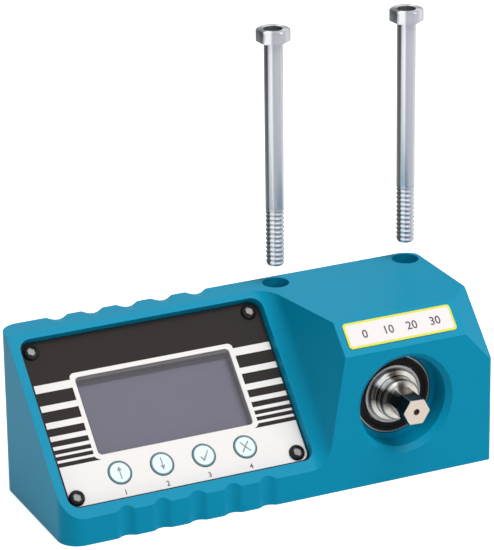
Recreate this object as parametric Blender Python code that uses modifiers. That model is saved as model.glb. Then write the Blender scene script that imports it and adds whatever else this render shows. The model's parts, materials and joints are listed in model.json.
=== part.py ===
"""Bench torque tester: a moulded housing with a sloped display, a hexagon drive and two mounting bolts.

Metres, +Z up. The origin is the centre of the housing's underside, +X runs along the housing to the
drive end, and -Y is the front. Places along the housing are measured from its left side, and places
across it from its front face.
"""
import math

import bmesh
import bpy
from mathutils import Matrix

MM = 0.001
GAP = 0.3 * MM
OVERCUT = 5.0 * MM

# Housing
WIDTH = 197.0 * MM
DEPTH = 71.0 * MM
HEIGHT = 72.0 * MM
FRONT_WALL_HEIGHT = 12.0 * MM
TOP_BAND_DEPTH = 11.8 * MM
SIDE_WALL = 3.0 * MM
FACE_WALL = 4.0 * MM
CORNER_RADIUS = 9.0 * MM
DRIVE_CORNER_RADIUS = 1.8 * MM
TOP_EDGE_RADIUS = 1.8 * MM
GROOVE_COUNT = 5
GROOVE_PITCH = 15.95 * MM
GROOVE_FIRST = 27.2 * MM
GROOVE_RADIUS = 5.0 * MM
GROOVE_DEPTH = 1.55 * MM
SCOOP_RADIUS = 10.0 * MM
SCOOP_DEPTH = 1.15 * MM
SCOOP_REACH = 9.0 * MM

# Drive block: it stands up from the slope at the right end
BLOCK_WIDTH = 78.0 * MM
BLOCK_RISE = 34.0 * MM
BLOCK_LEAN = 0.24
BLOCK_FILLET = 9.5 * MM
FACET_WIDTH = 13.0 * MM
FACET_DROP = 10.4 * MM

# Pocket in the slope, with the display panel in it
RIM_LEFT = 4.0 * MM
RIM_RIGHT = 4.4 * MM
RIM_BOTTOM = 5.1 * MM
RIM_TOP = 2.3 * MM
POCKET_DEPTH = 4.0 * MM
POCKET_RADIUS = 5.0 * MM
LEDGE_WIDTH = 6.0 * MM
LEDGE_THICKNESS = 3.0 * MM
LEDGE_RADIUS = 8.0 * MM
OVERLAY_THICKNESS = 0.5 * MM
FASCIA_THICKNESS = 2.0 * MM
PANEL_SCREW_INSET = 5.4 * MM

# Display and keys
WINDOW_WIDTH = 69.2 * MM
WINDOW_HEIGHT = 34.7 * MM
WINDOW_RADIUS = 2.0 * MM
WINDOW_ABOVE_POCKET_EDGE = 22.6 * MM
WINDOW_MARGIN = 1.4 * MM
DISPLAY_BORDER = 5.0 * MM
DISPLAY_SET_BACK = 1.1 * MM
DISPLAY_BODY = 2.6 * MM
BOARD_THICKNESS = 1.6 * MM
KEY_COUNT = 4
KEY_PITCH = 18.96 * MM
KEY_ABOVE_POCKET_EDGE = 12.6 * MM
KEY_RADIUS = 5.3 * MM
KEY_PROUD = 0.3 * MM
KEY_CAP_THICKNESS = 0.9 * MM
KEY_STEM_RADIUS = 2.0 * MM
KEY_TRAVEL = 0.4 * MM
DOME_RADIUS = 3.0 * MM
DOME_HEIGHT = 0.7 * MM
DOME_SHAPE = ((0.0, 1.0), (0.6, 0.8), (1.0, 0.2), (1.0, 0.0), (0.0, 0.0))
BOARD_EDGE_GAP = 1.0 * MM

# Drive: hexagon shaft in a ball bearing behind a round recess
DRIVE_FROM_RIGHT = 41.7 * MM
DRIVE_HEIGHT = 34.3 * MM
RECESS_RADIUS = 20.2 * MM
RECESS_CHAMFER = 2.3 * MM
RECESS_DEPTH = 11.3 * MM
BEARING_RADIUS = 17.5 * MM
BEARING_WIDTH = 10.0 * MM
BEARING_BOSS_WALL = 4.0 * MM
OUTER_RING_WALL = 2.6 * MM
OUTER_RING_LIP = 0.6 * MM
INNER_RING_RADIUS = 13.0 * MM
JOURNAL_RADIUS = 8.5 * MM
BALL_COUNT = 9
BALL_RADIUS = 2.8 * MM
BALL_CIRCLE = 13.5 * MM
CAGE_HALF_WALL = 0.7 * MM
CAGE_HALF_WIDTH = 2.0 * MM
SEAL_THICKNESS = 1.0 * MM
HEX_ACROSS_FLATS = 10.9 * MM
HEX_TURN = math.radians(32.5)
HEX_LENGTH = 13.6 * MM
HEX_REACH = 10.2 * MM
HEX_CHAMFER = 0.5 * MM
CENTRE_HOLE_RADIUS = 1.4 * MM
CENTRE_HOLE_DEPTH = 4.2 * MM
NECK_RADIUS = 9.1 * MM
COLLAR_RADIUS = 11.6 * MM
COLLAR_WIDTH = 1.6 * MM
NECK_CHAMFER = 1.2 * MM
NECK_STEP = 0.6 * MM
SHOULDER_WIDTH = 2.0 * MM
TORSION_RADIUS = 5.0 * MM
SLEEVE_WALL = 1.4 * MM
FLANGE_RADIUS = 15.0 * MM
FLANGE_THICKNESS = 6.0 * MM
FLANGE_BOSS_DEPTH = 6.0 * MM
FLANGE_SCREW_CIRCLE = 11.3 * MM

# Mounting bolts, shown lifted clear of their holes
BOLT_SPACING = 62.8 * MM
BOLT_FROM_RIGHT = 8.7 * MM
BOLT_FROM_BACK = 7.4 * MM
BOLT_HOLE_RADIUS = 5.9 * MM
BOLT_HOLE_CHAMFER = 0.4 * MM
BOLT_PILLAR_WALL = 3.6 * MM
BOLT_RADIUS = 4.0 * MM
BOLT_LENGTH = 100.0 * MM
BOLT_HEAD_FLATS = 13.0 * MM
BOLT_HEAD_HEIGHT = 5.3 * MM
BOLT_HEAD_DISH_RADIUS = 4.1 * MM
BOLT_HEAD_DISH_DEPTH = 1.5 * MM
BOLT_HEAD_CORNER = 7.3 * MM
BOLT_HEAD_CHAMFER = 0.5 * MM
BOLT_HEAD_TURN = math.radians(5.2)
BOLT_TIP_CHAMFER = 0.8 * MM
BOLT_LIFT = 8.7 * MM

# Base and the parts on it
BASE_THICKNESS = 2.5 * MM
BASE_LIP = 1.6 * MM
BASE_BOSS_RADIUS = 4.0 * MM
BASE_SCREW_INSET = 9.5 * MM
MAIN_BOARD_LENGTH = 84.0 * MM
MAIN_BOARD_WIDTH = 34.0 * MM
MAIN_BOARD_HEIGHT = 7.0 * MM
POST_RADIUS = 2.5 * MM
POST_INSET = 4.0 * MM
BOARD_CORNER_RADIUS = 2.0 * MM
INLET_FROM_LEFT = 106.5 * MM
INLET_HEIGHT = 15.5 * MM
INLET_NOSE_RADIUS = 4.6 * MM
INLET_BORE_RADIUS = 3.2 * MM
INLET_PIN_RADIUS = 1.0 * MM
INLET_BODY = 12.0 * MM
INLET_BODY_DEPTH = 9.0 * MM
INLET_BACK_WALL = 2.0 * MM

# Fasteners
PANEL_SCREW = {"shank": 1.8 * MM, "head": 3.5 * MM, "head_height": 2.3 * MM, "length": 6.0 * MM}
BASE_SCREW = {"shank": 1.4 * MM, "head": 2.7 * MM, "head_height": 1.4 * MM, "length": 5.6 * MM}
FLANGE_SCREW = {"shank": 1.9 * MM, "head": 3.2 * MM, "head_height": 3.6 * MM, "length": 10.0 * MM}
SOCKET_RADIUS_SHARE = 0.45
SOCKET_DEPTH_SHARE = 0.4
DOME_RIM_SHARE = 0.15
DOME_START = 25.0

# Label on the block's sloped face
LABEL_WIDTH = 50.6 * MM
LABEL_HEIGHT = 11.8 * MM
LABEL_RADIUS = 1.6 * MM
LABEL_THICKNESS = 0.4 * MM
LABEL_FROM_EDGE = 2.9 * MM

# Derived places
LEFT = -WIDTH / 2
RIGHT = WIDTH / 2
FRONT = -DEPTH / 2
BACK = DEPTH / 2
SLOPE_RUN = DEPTH - TOP_BAND_DEPTH
SLOPE_RISE = HEIGHT - FRONT_WALL_HEIGHT
SLOPE_ANGLE = math.atan2(SLOPE_RISE, SLOPE_RUN)
SLOPE_LENGTH = math.hypot(SLOPE_RUN, SLOPE_RISE)
BLOCK_FOOT = RIGHT - BLOCK_WIDTH
POCKET_LEFT = LEFT + RIM_LEFT
POCKET_RIGHT = BLOCK_FOOT - RIM_RIGHT
POCKET_BOTTOM = RIM_BOTTOM
POCKET_TOP = SLOPE_LENGTH - RIM_TOP
PANEL_CENTRE = (POCKET_LEFT + POCKET_RIGHT) / 2
OVERLAY_BASE = -POCKET_DEPTH - OVERLAY_THICKNESS
FASCIA_FACE = OVERLAY_BASE - GAP
FASCIA_BACK = FASCIA_FACE - FASCIA_THICKNESS
LEDGE_FACE = FASCIA_BACK - GAP
CEILING = LEDGE_FACE - LEDGE_THICKNESS
WINDOW_CENTRE = POCKET_BOTTOM + WINDOW_ABOVE_POCKET_EDGE + WINDOW_HEIGHT / 2
KEY_ROW = POCKET_BOTTOM + KEY_ABOVE_POCKET_EDGE
DISPLAY_FACE = FASCIA_BACK - GAP
DISPLAY_BACK = DISPLAY_FACE - DISPLAY_BODY
BOARD_FACE = DISPLAY_BACK - GAP
DRIVE_X = RIGHT - DRIVE_FROM_RIGHT
BOLT_Y = BACK - BOLT_FROM_BACK
BOLT_RIGHT_X = RIGHT - BOLT_FROM_RIGHT
BOLT_LEFT_X = BOLT_RIGHT_X - BOLT_SPACING
BOLT_HEAD_SEAT = HEIGHT + BOLT_LIFT + BOLT_LENGTH
HEX_FOOT = HEX_LENGTH - HEX_REACH
HEX_CORNER = HEX_ACROSS_FLATS / math.sqrt(3)
BEARING_BACK = RECESS_DEPTH + BEARING_WIDTH
JOURNAL_END = BEARING_BACK + BEARING_BOSS_WALL
FLANGE_SEAT = DEPTH - FACE_WALL - FLANGE_BOSS_DEPTH
FLANGE_BACK = FLANGE_SEAT - GAP
FLANGE_FRONT = FLANGE_BACK - FLANGE_THICKNESS
SLEEVE_SEAT = TORSION_RADIUS + GAP + SLEEVE_WALL / 2


def arc(centre, radius, start, end, steps):
    """Points on an arc, both ends included, with angles in degrees."""
    points = []
    for i in range(steps + 1):
        angle = math.radians(start + (end - start) * i / steps)
        points.append((centre[0] + radius * math.cos(angle), centre[1] + radius * math.sin(angle)))
    return points


def circle(centre, radius, steps=32):
    """A closed round outline."""
    return arc(centre, radius, 0, 360 - 360 / steps, steps - 1)


def rounded_rectangle(left, right, bottom, top, radius, steps=5):
    """A closed outline with four round corners, anticlockwise."""
    points = []
    points += arc((left + radius, bottom + radius), radius, 180, 270, steps)
    points += arc((right - radius, bottom + radius), radius, 270, 360, steps)
    points += arc((right - radius, top - radius), radius, 0, 90, steps)
    points += arc((left + radius, top - radius), radius, 90, 180, steps)
    return points


def collection(name):
    """A new collection in the scene."""
    made = bpy.data.collections.new(name)
    bpy.context.scene.collection.children.link(made)
    return made


def material(name, colour, roughness, metallic=0.0):
    """A plain Principled material."""
    made = bpy.data.materials.new(name)
    made.use_nodes = True
    shader = made.node_tree.nodes["Principled BSDF"]
    shader.inputs["Base Color"].default_value = (*colour, 1.0)
    shader.inputs["Roughness"].default_value = roughness
    shader.inputs["Metallic"].default_value = metallic
    return made


def place(name, mesh, location=(0, 0, 0), parent=None, finish=None, rotation=(0, 0, 0)):
    """Put a mesh in the scene, as a part with a finish, or as a hidden cutter without one."""
    item = bpy.data.objects.new(name, mesh)
    if finish is None:
        CUTTERS.objects.link(item)
        item.hide_render = True
        item.display_type = "WIRE"
    else:
        PARTS.objects.link(item)
        mesh.materials.clear()
        mesh.materials.append(finish)
    item.location = location
    item.rotation_euler = rotation
    item.parent = parent
    return item


def guide(name, location, rotation=(0, 0, 0)):
    """An empty that carries the frame of an inclined face or an axis."""
    empty = bpy.data.objects.new(name, None)
    PARTS.objects.link(empty)
    empty.location = location
    empty.rotation_euler = rotation
    return empty


def plate_mesh(name, outline, bottom, top, holes=()):
    """A flat outline with holes, filled and extruded between two heights."""
    curve = bpy.data.curves.new(name, "CURVE")
    curve.dimensions = "2D"
    curve.fill_mode = "BOTH"
    curve.extrude = (top - bottom) / 2
    for points in (outline, *holes):
        spline = curve.splines.new("POLY")
        spline.points.add(len(points) - 1)
        for point, (x, y) in zip(spline.points, points):
            point.co = (x, y, 0, 1)
        spline.use_cyclic_u = True
    shape = bpy.data.objects.new(name, curve)
    bpy.context.scene.collection.objects.link(shape)
    mesh = bpy.data.meshes.new_from_object(shape.evaluated_get(bpy.context.evaluated_depsgraph_get()))
    bpy.data.objects.remove(shape)
    bpy.data.curves.remove(curve)
    mesh.name = name
    editable = bmesh.new()
    editable.from_mesh(mesh)
    bmesh.ops.remove_doubles(editable, verts=editable.verts, dist=0.00001)
    bmesh.ops.translate(editable, verts=editable.verts, vec=(0, 0, (top + bottom) / 2))
    bmesh.ops.recalc_face_normals(editable, faces=editable.faces)
    editable.to_mesh(mesh)
    editable.free()
    return mesh


def prism_mesh(name, sides, across_flats, bottom, top, turn=0.0):
    """A regular prism, such as a hexagon, between two heights."""
    editable = bmesh.new()
    radius = across_flats / 2 / math.cos(math.pi / sides)
    bmesh.ops.create_cone(editable, cap_ends=True, segments=sides, radius1=radius, radius2=radius,
                          depth=top - bottom)
    bmesh.ops.rotate(editable, verts=editable.verts, matrix=Matrix.Rotation(turn, 3, "Z"))
    bmesh.ops.translate(editable, verts=editable.verts, vec=(0, 0, (top + bottom) / 2))
    mesh = bpy.data.meshes.new(name)
    editable.to_mesh(mesh)
    editable.free()
    return mesh


def turned(name, profile, steps=32, closed=False, **where):
    """A turned piece: a profile of radius and height, down its outer side, swept by a Screw modifier."""
    mesh = bpy.data.meshes.new(name)
    edges = [(i, i + 1) for i in range(len(profile) - 1)]
    if closed:
        edges.append((len(profile) - 1, 0))
    mesh.from_pydata([(radius, 0, height) for radius, height in profile], edges, [])
    item = place(name, mesh, **where)
    screw = item.modifiers.new("turn", "SCREW")
    screw.steps = steps
    screw.render_steps = steps
    screw.use_merge_vertices = True
    screw.merge_threshold = 0.00001
    return item


def cylinder(name, radius, bottom, top, steps=32, **where):
    """A plain turned cylinder between two heights."""
    return turned(name, [(0, top), (radius, top), (radius, bottom), (0, bottom)], steps, **where)


def tube(name, inner, outer, bottom, top, steps=32, **where):
    """A plain turned ring."""
    profile = [(outer, top), (outer, bottom), (inner, bottom), (inner, top)]
    return turned(name, profile, steps, closed=True, **where)


def box_mesh(name, low, high):
    """A box between two corners."""
    editable = bmesh.new()
    bmesh.ops.create_cube(editable, size=1.0)
    size = [high[i] - low[i] for i in range(3)]
    middle = [(high[i] + low[i]) / 2 for i in range(3)]
    bmesh.ops.scale(editable, verts=editable.verts, vec=size)
    bmesh.ops.translate(editable, verts=editable.verts, vec=middle)
    mesh = bpy.data.meshes.new(name)
    editable.to_mesh(mesh)
    editable.free()
    return mesh


def combine(target, cutter, operation="DIFFERENCE"):
    """Cut, join or trim one object with another."""
    boolean = target.modifiers.new(cutter.name, "BOOLEAN")
    boolean.operation = operation
    boolean.solver = "EXACT"
    boolean.object = cutter


def cut_all(target, name, cutters):
    """Cut one object with many others in a single step."""
    group = bpy.data.collections.new(name)
    CUTTERS.children.link(group)
    for cutter in cutters:
        CUTTERS.objects.unlink(cutter)
        group.objects.link(cutter)
    boolean = target.modifiers.new(name, "BOOLEAN")
    boolean.operation = "DIFFERENCE"
    boolean.solver = "EXACT"
    boolean.operand_type = "COLLECTION"
    boolean.collection = group


def smooth(item):
    """Shade the round pieces smooth up to their sharp edges."""
    item.data.shade_smooth()
    item.data.set_sharp_from_angle(angle=math.radians(35))


def groove_places():
    """Distances of the finger grooves from the left side."""
    return [GROOVE_FIRST + i * GROOVE_PITCH for i in range(GROOVE_COUNT)]


def groove_arc(x, wall, inward):
    """The arc of one finger groove in the front wall (inward = 1) or the back wall (inward = -1)."""
    half_angle = math.degrees(math.acos(1 - GROOVE_DEPTH / GROOVE_RADIUS))
    centre = (x, wall - inward * (GROOVE_RADIUS - GROOVE_DEPTH))
    middle = 90 * inward
    return arc(centre, GROOVE_RADIUS, middle + half_angle, middle - half_angle, 4)


def footprint():
    """The housing's outline from above, anticlockwise, with the finger grooves in it."""
    points = arc((LEFT + CORNER_RADIUS, FRONT + CORNER_RADIUS), CORNER_RADIUS, 180, 270, 6)
    for x in groove_places():
        points += groove_arc(LEFT + x, FRONT, 1)
    corner = DRIVE_CORNER_RADIUS
    points += arc((RIGHT - corner, FRONT + corner), corner, 270, 360, 3)
    points += arc((RIGHT - CORNER_RADIUS, BACK - CORNER_RADIUS), CORNER_RADIUS, 0, 90, 6)
    for x in reversed(groove_places()):
        points += groove_arc(LEFT + x, BACK, -1)
    points += arc((LEFT + CORNER_RADIUS, BACK - CORNER_RADIUS), CORNER_RADIUS, 90, 180, 6)
    return points


def slope_profile(wall):
    """What is cut away above the slope and the block, across the slope: x against height above it.

    The slope, the block's left wall, its label face and its corner facet all run parallel to the
    slope, so one outline makes them. With a wall it is the same outline moved into the material.
    """
    lean = math.atan(BLOCK_LEAN)
    corner = math.tan(math.radians(45) - lean / 2)
    floor = CEILING if wall else 0.0
    foot = BLOCK_FOOT + (wall / math.cos(lean) if wall else 0.0)
    fillet = GAP if wall else BLOCK_FILLET
    rise = BLOCK_RISE - wall
    start = foot + floor * BLOCK_LEAN - fillet * corner
    points = [(LEFT - OVERCUT, floor)]
    points += arc((start, floor + fillet), fillet, -90, -math.degrees(lean), 6 if fillet > GAP else 1)
    points.append((foot + rise * BLOCK_LEAN, rise))
    facet_angle = math.atan2(FACET_DROP, FACET_WIDTH)
    facet_start = RIGHT - FACET_WIDTH - wall * math.tan(facet_angle / 2)
    points.append((facet_start, rise))
    end = RIGHT + OVERCUT
    points.append((end, rise - (end - facet_start) * FACET_DROP / FACET_WIDTH))
    above = 2 * HEIGHT
    return points + [(end, above), (LEFT - OVERCUT, above)]


def slope_cutter(name, wall):
    """The slope profile as a solid, run along the slope past both its ends."""
    mesh = plate_mesh(name, slope_profile(wall), -2 * SLOPE_LENGTH, SLOPE_LENGTH)
    return place(name, mesh, (0, FRONT, FRONT_WALL_HEIGHT), rotation=(SLOPE_ANGLE + math.pi / 2, 0, 0))


def side_profile_cutter():
    """The housing's outline from the front, which rounds the top edge at the drive end."""
    radius = TOP_EDGE_RADIUS
    points = [(LEFT - OVERCUT, -OVERCUT), (RIGHT, -OVERCUT)]
    points += arc((RIGHT - radius, HEIGHT - radius), radius, 0, 90, 4)
    points += [(LEFT - OVERCUT, HEIGHT)]
    mesh = plate_mesh("side_profile", points, -DEPTH, DEPTH)
    return place("side_profile", mesh, rotation=(math.pi / 2, 0, 0))


def base_screw_places():
    """Where the base plate's screws go: two at the display end, one at the drive end, one at the back."""
    inset = BASE_SCREW_INSET
    return [
        (LEFT + inset, FRONT + inset),
        (LEFT + inset, BACK - inset),
        (RIGHT - inset, FRONT + inset),
        (DRIVE_X, BACK - inset),
    ]


def base_outline(inset):
    """The outline of the opening under the housing, or of the plate in it."""
    return rounded_rectangle(LEFT + SIDE_WALL - BASE_LIP + inset, RIGHT - SIDE_WALL + BASE_LIP - inset,
                             FRONT + FACE_WALL - BASE_LIP + inset, BACK - FACE_WALL + BASE_LIP - inset,
                             CORNER_RADIUS - SIDE_WALL + BASE_LIP - inset)


def leave_pillars(item, name, clearance):
    """Keep an object clear of the two pillars that the mounting bolts pass through."""
    radius = BOLT_HOLE_RADIUS + BOLT_PILLAR_WALL + clearance
    for index, x in enumerate((BOLT_LEFT_X, BOLT_RIGHT_X)):
        combine(item, cylinder(f"{name}_{index}", radius, -2 * OVERCUT, HEIGHT + OVERCUT, 24,
                               location=(x, BOLT_Y, 0)))


def cavity_cutter():
    """The hollow inside the housing with the base plate's rebate, less the pillars and bosses in it."""
    inside = rounded_rectangle(LEFT + SIDE_WALL, RIGHT - SIDE_WALL, FRONT + FACE_WALL, BACK - FACE_WALL,
                               CORNER_RADIUS - SIDE_WALL)
    rebate_depth = BASE_THICKNESS + GAP
    cavity = place("cavity", plate_mesh("cavity", inside, rebate_depth / 2, HEIGHT - FACE_WALL))
    combine(cavity, slope_cutter("ceiling", FACE_WALL))
    rebate = place("rebate", plate_mesh("rebate", base_outline(0.0), -OVERCUT, rebate_depth))
    combine(cavity, rebate, "UNION")
    leave_pillars(cavity, "pillar", 0.0)
    for index, (x, y) in enumerate(base_screw_places()):
        combine(cavity, cylinder(f"screw_boss_{index}", BASE_BOSS_RADIUS, rebate_depth,
                                 HEIGHT + OVERCUT, 12, location=(x, y, 0)))
    combine(cavity, cylinder("bearing_boss", RECESS_RADIUS + BEARING_BOSS_WALL, -OVERCUT, JOURNAL_END, 32,
                             parent=DRIVE_AXIS))
    combine(cavity, cylinder("flange_boss", FLANGE_RADIUS + BEARING_BOSS_WALL, FLANGE_SEAT,
                             DEPTH + OVERCUT, 32, parent=DRIVE_AXIS))
    return cavity


def top_scoops():
    """Shallow scoops where the back grooves run out over the top edge."""
    fall = math.atan2(SCOOP_DEPTH, SCOOP_REACH)
    height = HEIGHT + SCOOP_RADIUS / math.cos(fall)
    return [cylinder(f"scoop_{index}", SCOOP_RADIUS, -2 * SCOOP_RADIUS, 2 * SCOOP_RADIUS, 32,
                     location=(LEFT + x, BACK - SCOOP_REACH, height),
                     rotation=(-math.pi / 2 - fall, 0, 0))
            for index, x in enumerate(groove_places())]


def drive_bore():
    """The round recess with its chamfer, the bearing seat and the way through for the shaft."""
    seat = BEARING_RADIUS + GAP
    mouth = RECESS_RADIUS + RECESS_CHAMFER + OVERCUT
    seat_end = BEARING_BACK + GAP
    profile = [(0, FLANGE_SEAT), (FLANGE_RADIUS + GAP, FLANGE_SEAT), (FLANGE_RADIUS + GAP, seat_end),
               (seat, seat_end), (seat, RECESS_DEPTH), (RECESS_RADIUS, RECESS_DEPTH),
               (RECESS_RADIUS, RECESS_CHAMFER), (mouth, -OVERCUT), (0, -OVERCUT)]
    cutters = [turned("drive_bore", profile, 48, parent=DRIVE_AXIS)]
    end = FLANGE_SEAT + FLANGE_SCREW["length"] - FLANGE_THICKNESS + GAP
    for index, angle in enumerate(flange_screw_angles()):
        x, y = FLANGE_SCREW_CIRCLE * math.cos(angle), FLANGE_SCREW_CIRCLE * math.sin(angle)
        cutters.append(cylinder(f"flange_screw_hole_{index}", FLANGE_SCREW["shank"] + GAP,
                                FLANGE_SEAT - OVERCUT, end, 10, parent=DRIVE_AXIS, location=(x, y, 0)))
    return cutters


def bolt_holes():
    """Through holes for the mounting bolts, with a small chamfer at the top."""
    mouth = BOLT_HOLE_RADIUS + BOLT_HOLE_CHAMFER + OVERCUT
    profile = [(0, HEIGHT + OVERCUT), (mouth, HEIGHT + OVERCUT),
               (BOLT_HOLE_RADIUS, HEIGHT - BOLT_HOLE_CHAMFER), (BOLT_HOLE_RADIUS, -2 * OVERCUT),
               (0, -2 * OVERCUT)]
    return [turned(f"bolt_hole_{index}", profile, 24, location=(x, BOLT_Y, 0))
            for index, x in enumerate((BOLT_LEFT_X, BOLT_RIGHT_X))]


def panel_pocket():
    """The pocket for the panel, the opening through its ledge and the four screw holes."""
    pocket = rounded_rectangle(POCKET_LEFT, POCKET_RIGHT, POCKET_BOTTOM, POCKET_TOP, POCKET_RADIUS)
    opening = rounded_rectangle(POCKET_LEFT + LEDGE_WIDTH, POCKET_RIGHT - LEDGE_WIDTH,
                                POCKET_BOTTOM + LEDGE_WIDTH, POCKET_TOP - LEDGE_WIDTH, LEDGE_RADIUS)
    cutters = [place("pocket", plate_mesh("pocket", pocket, LEDGE_FACE, 3 * OVERCUT),
                     parent=SLOPE_FRAME),
               place("ledge_opening", plate_mesh("ledge_opening", opening, CEILING - OVERCUT,
                                                 LEDGE_FACE / 2), parent=SLOPE_FRAME)]
    for index, (x, y) in enumerate(panel_screw_places()):
        cutters.append(cylinder(f"panel_screw_hole_{index}", PANEL_SCREW["shank"] + GAP,
                                CEILING - OVERCUT, LEDGE_FACE / 2, 10, parent=SLOPE_FRAME,
                                location=(x, y, 0)))
    return cutters


def base_screw_holes():
    """The holes for the base plate's screws, up into their bosses."""
    return [cylinder(f"base_screw_hole_{index}", BASE_SCREW["shank"] + GAP, -OVERCUT,
                     BASE_SCREW["length"] + GAP, 10, location=(x, y, 0))
            for index, (x, y) in enumerate(base_screw_places())]


def inlet_hole():
    """The hole in the back wall for the power inlet's nose."""
    return [cylinder("inlet_hole", INLET_NOSE_RADIUS + GAP, -2 * FACE_WALL, OVERCUT, 20,
                     location=(LEFT + INLET_FROM_LEFT, BACK, INLET_HEIGHT),
                     rotation=(-math.pi / 2, 0, 0))]


def make_case():
    """The moulded housing, open underneath."""
    case = place("case", plate_mesh("case", footprint(), 0, HEIGHT), finish=TEAL)
    combine(case, side_profile_cutter(), "INTERSECT")
    cutters = [slope_cutter("slope", 0.0), cavity_cutter()]
    cutters += top_scoops() + drive_bore() + bolt_holes() + panel_pocket() + base_screw_holes()
    cut_all(case, "case_cutters", cutters + inlet_hole())


def panel_screw_places():
    """The four corners of the panel, in the slope's frame."""
    inset = PANEL_SCREW_INSET
    columns = (POCKET_LEFT + inset, POCKET_RIGHT - inset)
    rows = (POCKET_BOTTOM + inset, POCKET_TOP - inset)
    return [(x, y) for y in rows for x in columns]


def key_places():
    """The key centres, left to right, in the slope's frame."""
    first = PANEL_CENTRE - (KEY_COUNT - 1) / 2 * KEY_PITCH
    return [(first + i * KEY_PITCH, KEY_ROW) for i in range(KEY_COUNT)]


def window_outline(margin):
    """The display window's outline, grown by a margin."""
    half_width = WINDOW_WIDTH / 2 + margin
    half_height = WINDOW_HEIGHT / 2 + margin
    return rounded_rectangle(PANEL_CENTRE - half_width, PANEL_CENTRE + half_width,
                             WINDOW_CENTRE - half_height, WINDOW_CENTRE + half_height, WINDOW_RADIUS, 4)


def make_panel():
    """The printed overlay, the plate under it and the clear window."""
    outline = rounded_rectangle(POCKET_LEFT + GAP, POCKET_RIGHT - GAP, POCKET_BOTTOM + GAP,
                                POCKET_TOP - GAP, POCKET_RADIUS - GAP)
    screw_holes = [circle(centre, PANEL_SCREW["shank"] + GAP, 10) for centre in panel_screw_places()]
    key_holes = [circle(centre, KEY_RADIUS, 24) for centre in key_places()]
    overlay = plate_mesh("panel_overlay", outline, OVERLAY_BASE, -POCKET_DEPTH,
                         [window_outline(0.0)] + screw_holes + key_holes)
    place("panel_overlay", overlay, parent=SLOPE_FRAME, finish=PRINT)
    fascia = plate_mesh("fascia_plate", outline, FASCIA_BACK, FASCIA_FACE,
                        [window_outline(WINDOW_MARGIN)] + screw_holes + key_holes)
    plate = place("fascia_plate", fascia, parent=SLOPE_FRAME, finish=BLACK)
    for index, centre in enumerate(board_post_places()):
        post = cylinder(f"fascia_post_{index}", POST_RADIUS, BOARD_FACE + GAP,
                        FASCIA_BACK + FASCIA_THICKNESS / 2, 10, parent=SLOPE_FRAME,
                        location=(*centre, 0))
        combine(plate, post, "UNION")
    window = plate_mesh("display_window", window_outline(-GAP), OVERLAY_BASE, -POCKET_DEPTH)
    place("display_window", window, parent=SLOPE_FRAME, finish=CLEAR)


def board_post_places():
    """Where the fascia plate's posts carry the display board, in the slope's frame."""
    side = PANEL_CENTRE - (POCKET_LEFT + LEDGE_WIDTH + GAP) - 2 * POST_RADIUS
    low = POCKET_BOTTOM + 4 * LEDGE_WIDTH
    high = POCKET_TOP - LEDGE_WIDTH - LEDGE_RADIUS
    return [(PANEL_CENTRE + sign * side, y) for y in (low, high) for sign in (-1, 1)]


def make_display():
    """The display's metal frame and glass, and the board that carries them and the key domes."""
    border = WINDOW_MARGIN + DISPLAY_BORDER
    frame = plate_mesh("display_frame", window_outline(border), DISPLAY_BACK, DISPLAY_FACE,
                       [window_outline(WINDOW_MARGIN)])
    place("display_frame", frame, parent=SLOPE_FRAME, finish=GREY_METAL)
    glass = plate_mesh("display_glass", window_outline(WINDOW_MARGIN - GAP), DISPLAY_BACK,
                       DISPLAY_FACE - DISPLAY_SET_BACK)
    place("display_glass", glass, parent=SLOPE_FRAME, finish=GLASS)
    inset = LEDGE_WIDTH + BOARD_EDGE_GAP
    outline = rounded_rectangle(POCKET_LEFT + inset, POCKET_RIGHT - inset, POCKET_BOTTOM + inset,
                                POCKET_TOP - inset, LEDGE_RADIUS)
    board = plate_mesh("display_board", outline, BOARD_FACE - BOARD_THICKNESS, BOARD_FACE)
    place("display_board", board, parent=SLOPE_FRAME, finish=BOARD)


def make_keys():
    """Four round keys with stems, each above its snap dome."""
    cap_top = -POCKET_DEPTH + KEY_PROUD
    cap_bottom = cap_top - KEY_CAP_THICKNESS
    stem_end = BOARD_FACE + GAP / 2 + DOME_HEIGHT + KEY_TRAVEL
    radius = KEY_RADIUS - GAP
    for index, centre in enumerate(key_places(), start=1):
        profile = [(0, cap_top), (radius - KEY_PROUD, cap_top), (radius, cap_top - KEY_PROUD),
                   (radius, cap_bottom), (KEY_STEM_RADIUS, cap_bottom), (KEY_STEM_RADIUS, stem_end),
                   (0, stem_end)]
        smooth(turned(f"key_{index}", profile, 24, location=(*centre, 0), parent=SLOPE_FRAME,
                      finish=KEYCAP))
        base = BOARD_FACE + GAP / 4
        dome = [(DOME_RADIUS * across, base + DOME_HEIGHT * up) for across, up in DOME_SHAPE]
        smooth(turned(f"dome_{index}", dome, 12, location=(*centre, 0), parent=SLOPE_FRAME,
                      finish=STEEL))


def dome_head_screw(name, sizes, underside, **where):
    """A dome-head screw, with its head's underside at a height and its shank below it."""
    top = underside + sizes["head_height"]
    socket = sizes["head"] * SOCKET_RADIUS_SHARE
    socket_floor = top - sizes["head_height"] * SOCKET_DEPTH_SHARE
    rim = sizes["head_height"] * DOME_RIM_SHARE
    profile = [(0, socket_floor), (socket, socket_floor), (socket, top)]
    for across, up in arc((0, 0), 1.0, 90 - DOME_START, 0, 3):
        profile.append((socket + (sizes["head"] - socket) * across,
                        underside + rim + (sizes["head_height"] - rim) * up))
    profile += [(sizes["head"], underside), (sizes["shank"], underside),
                (sizes["shank"], underside - sizes["length"]), (0, underside - sizes["length"])]
    smooth(turned(name, profile, 12, **where))


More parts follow.
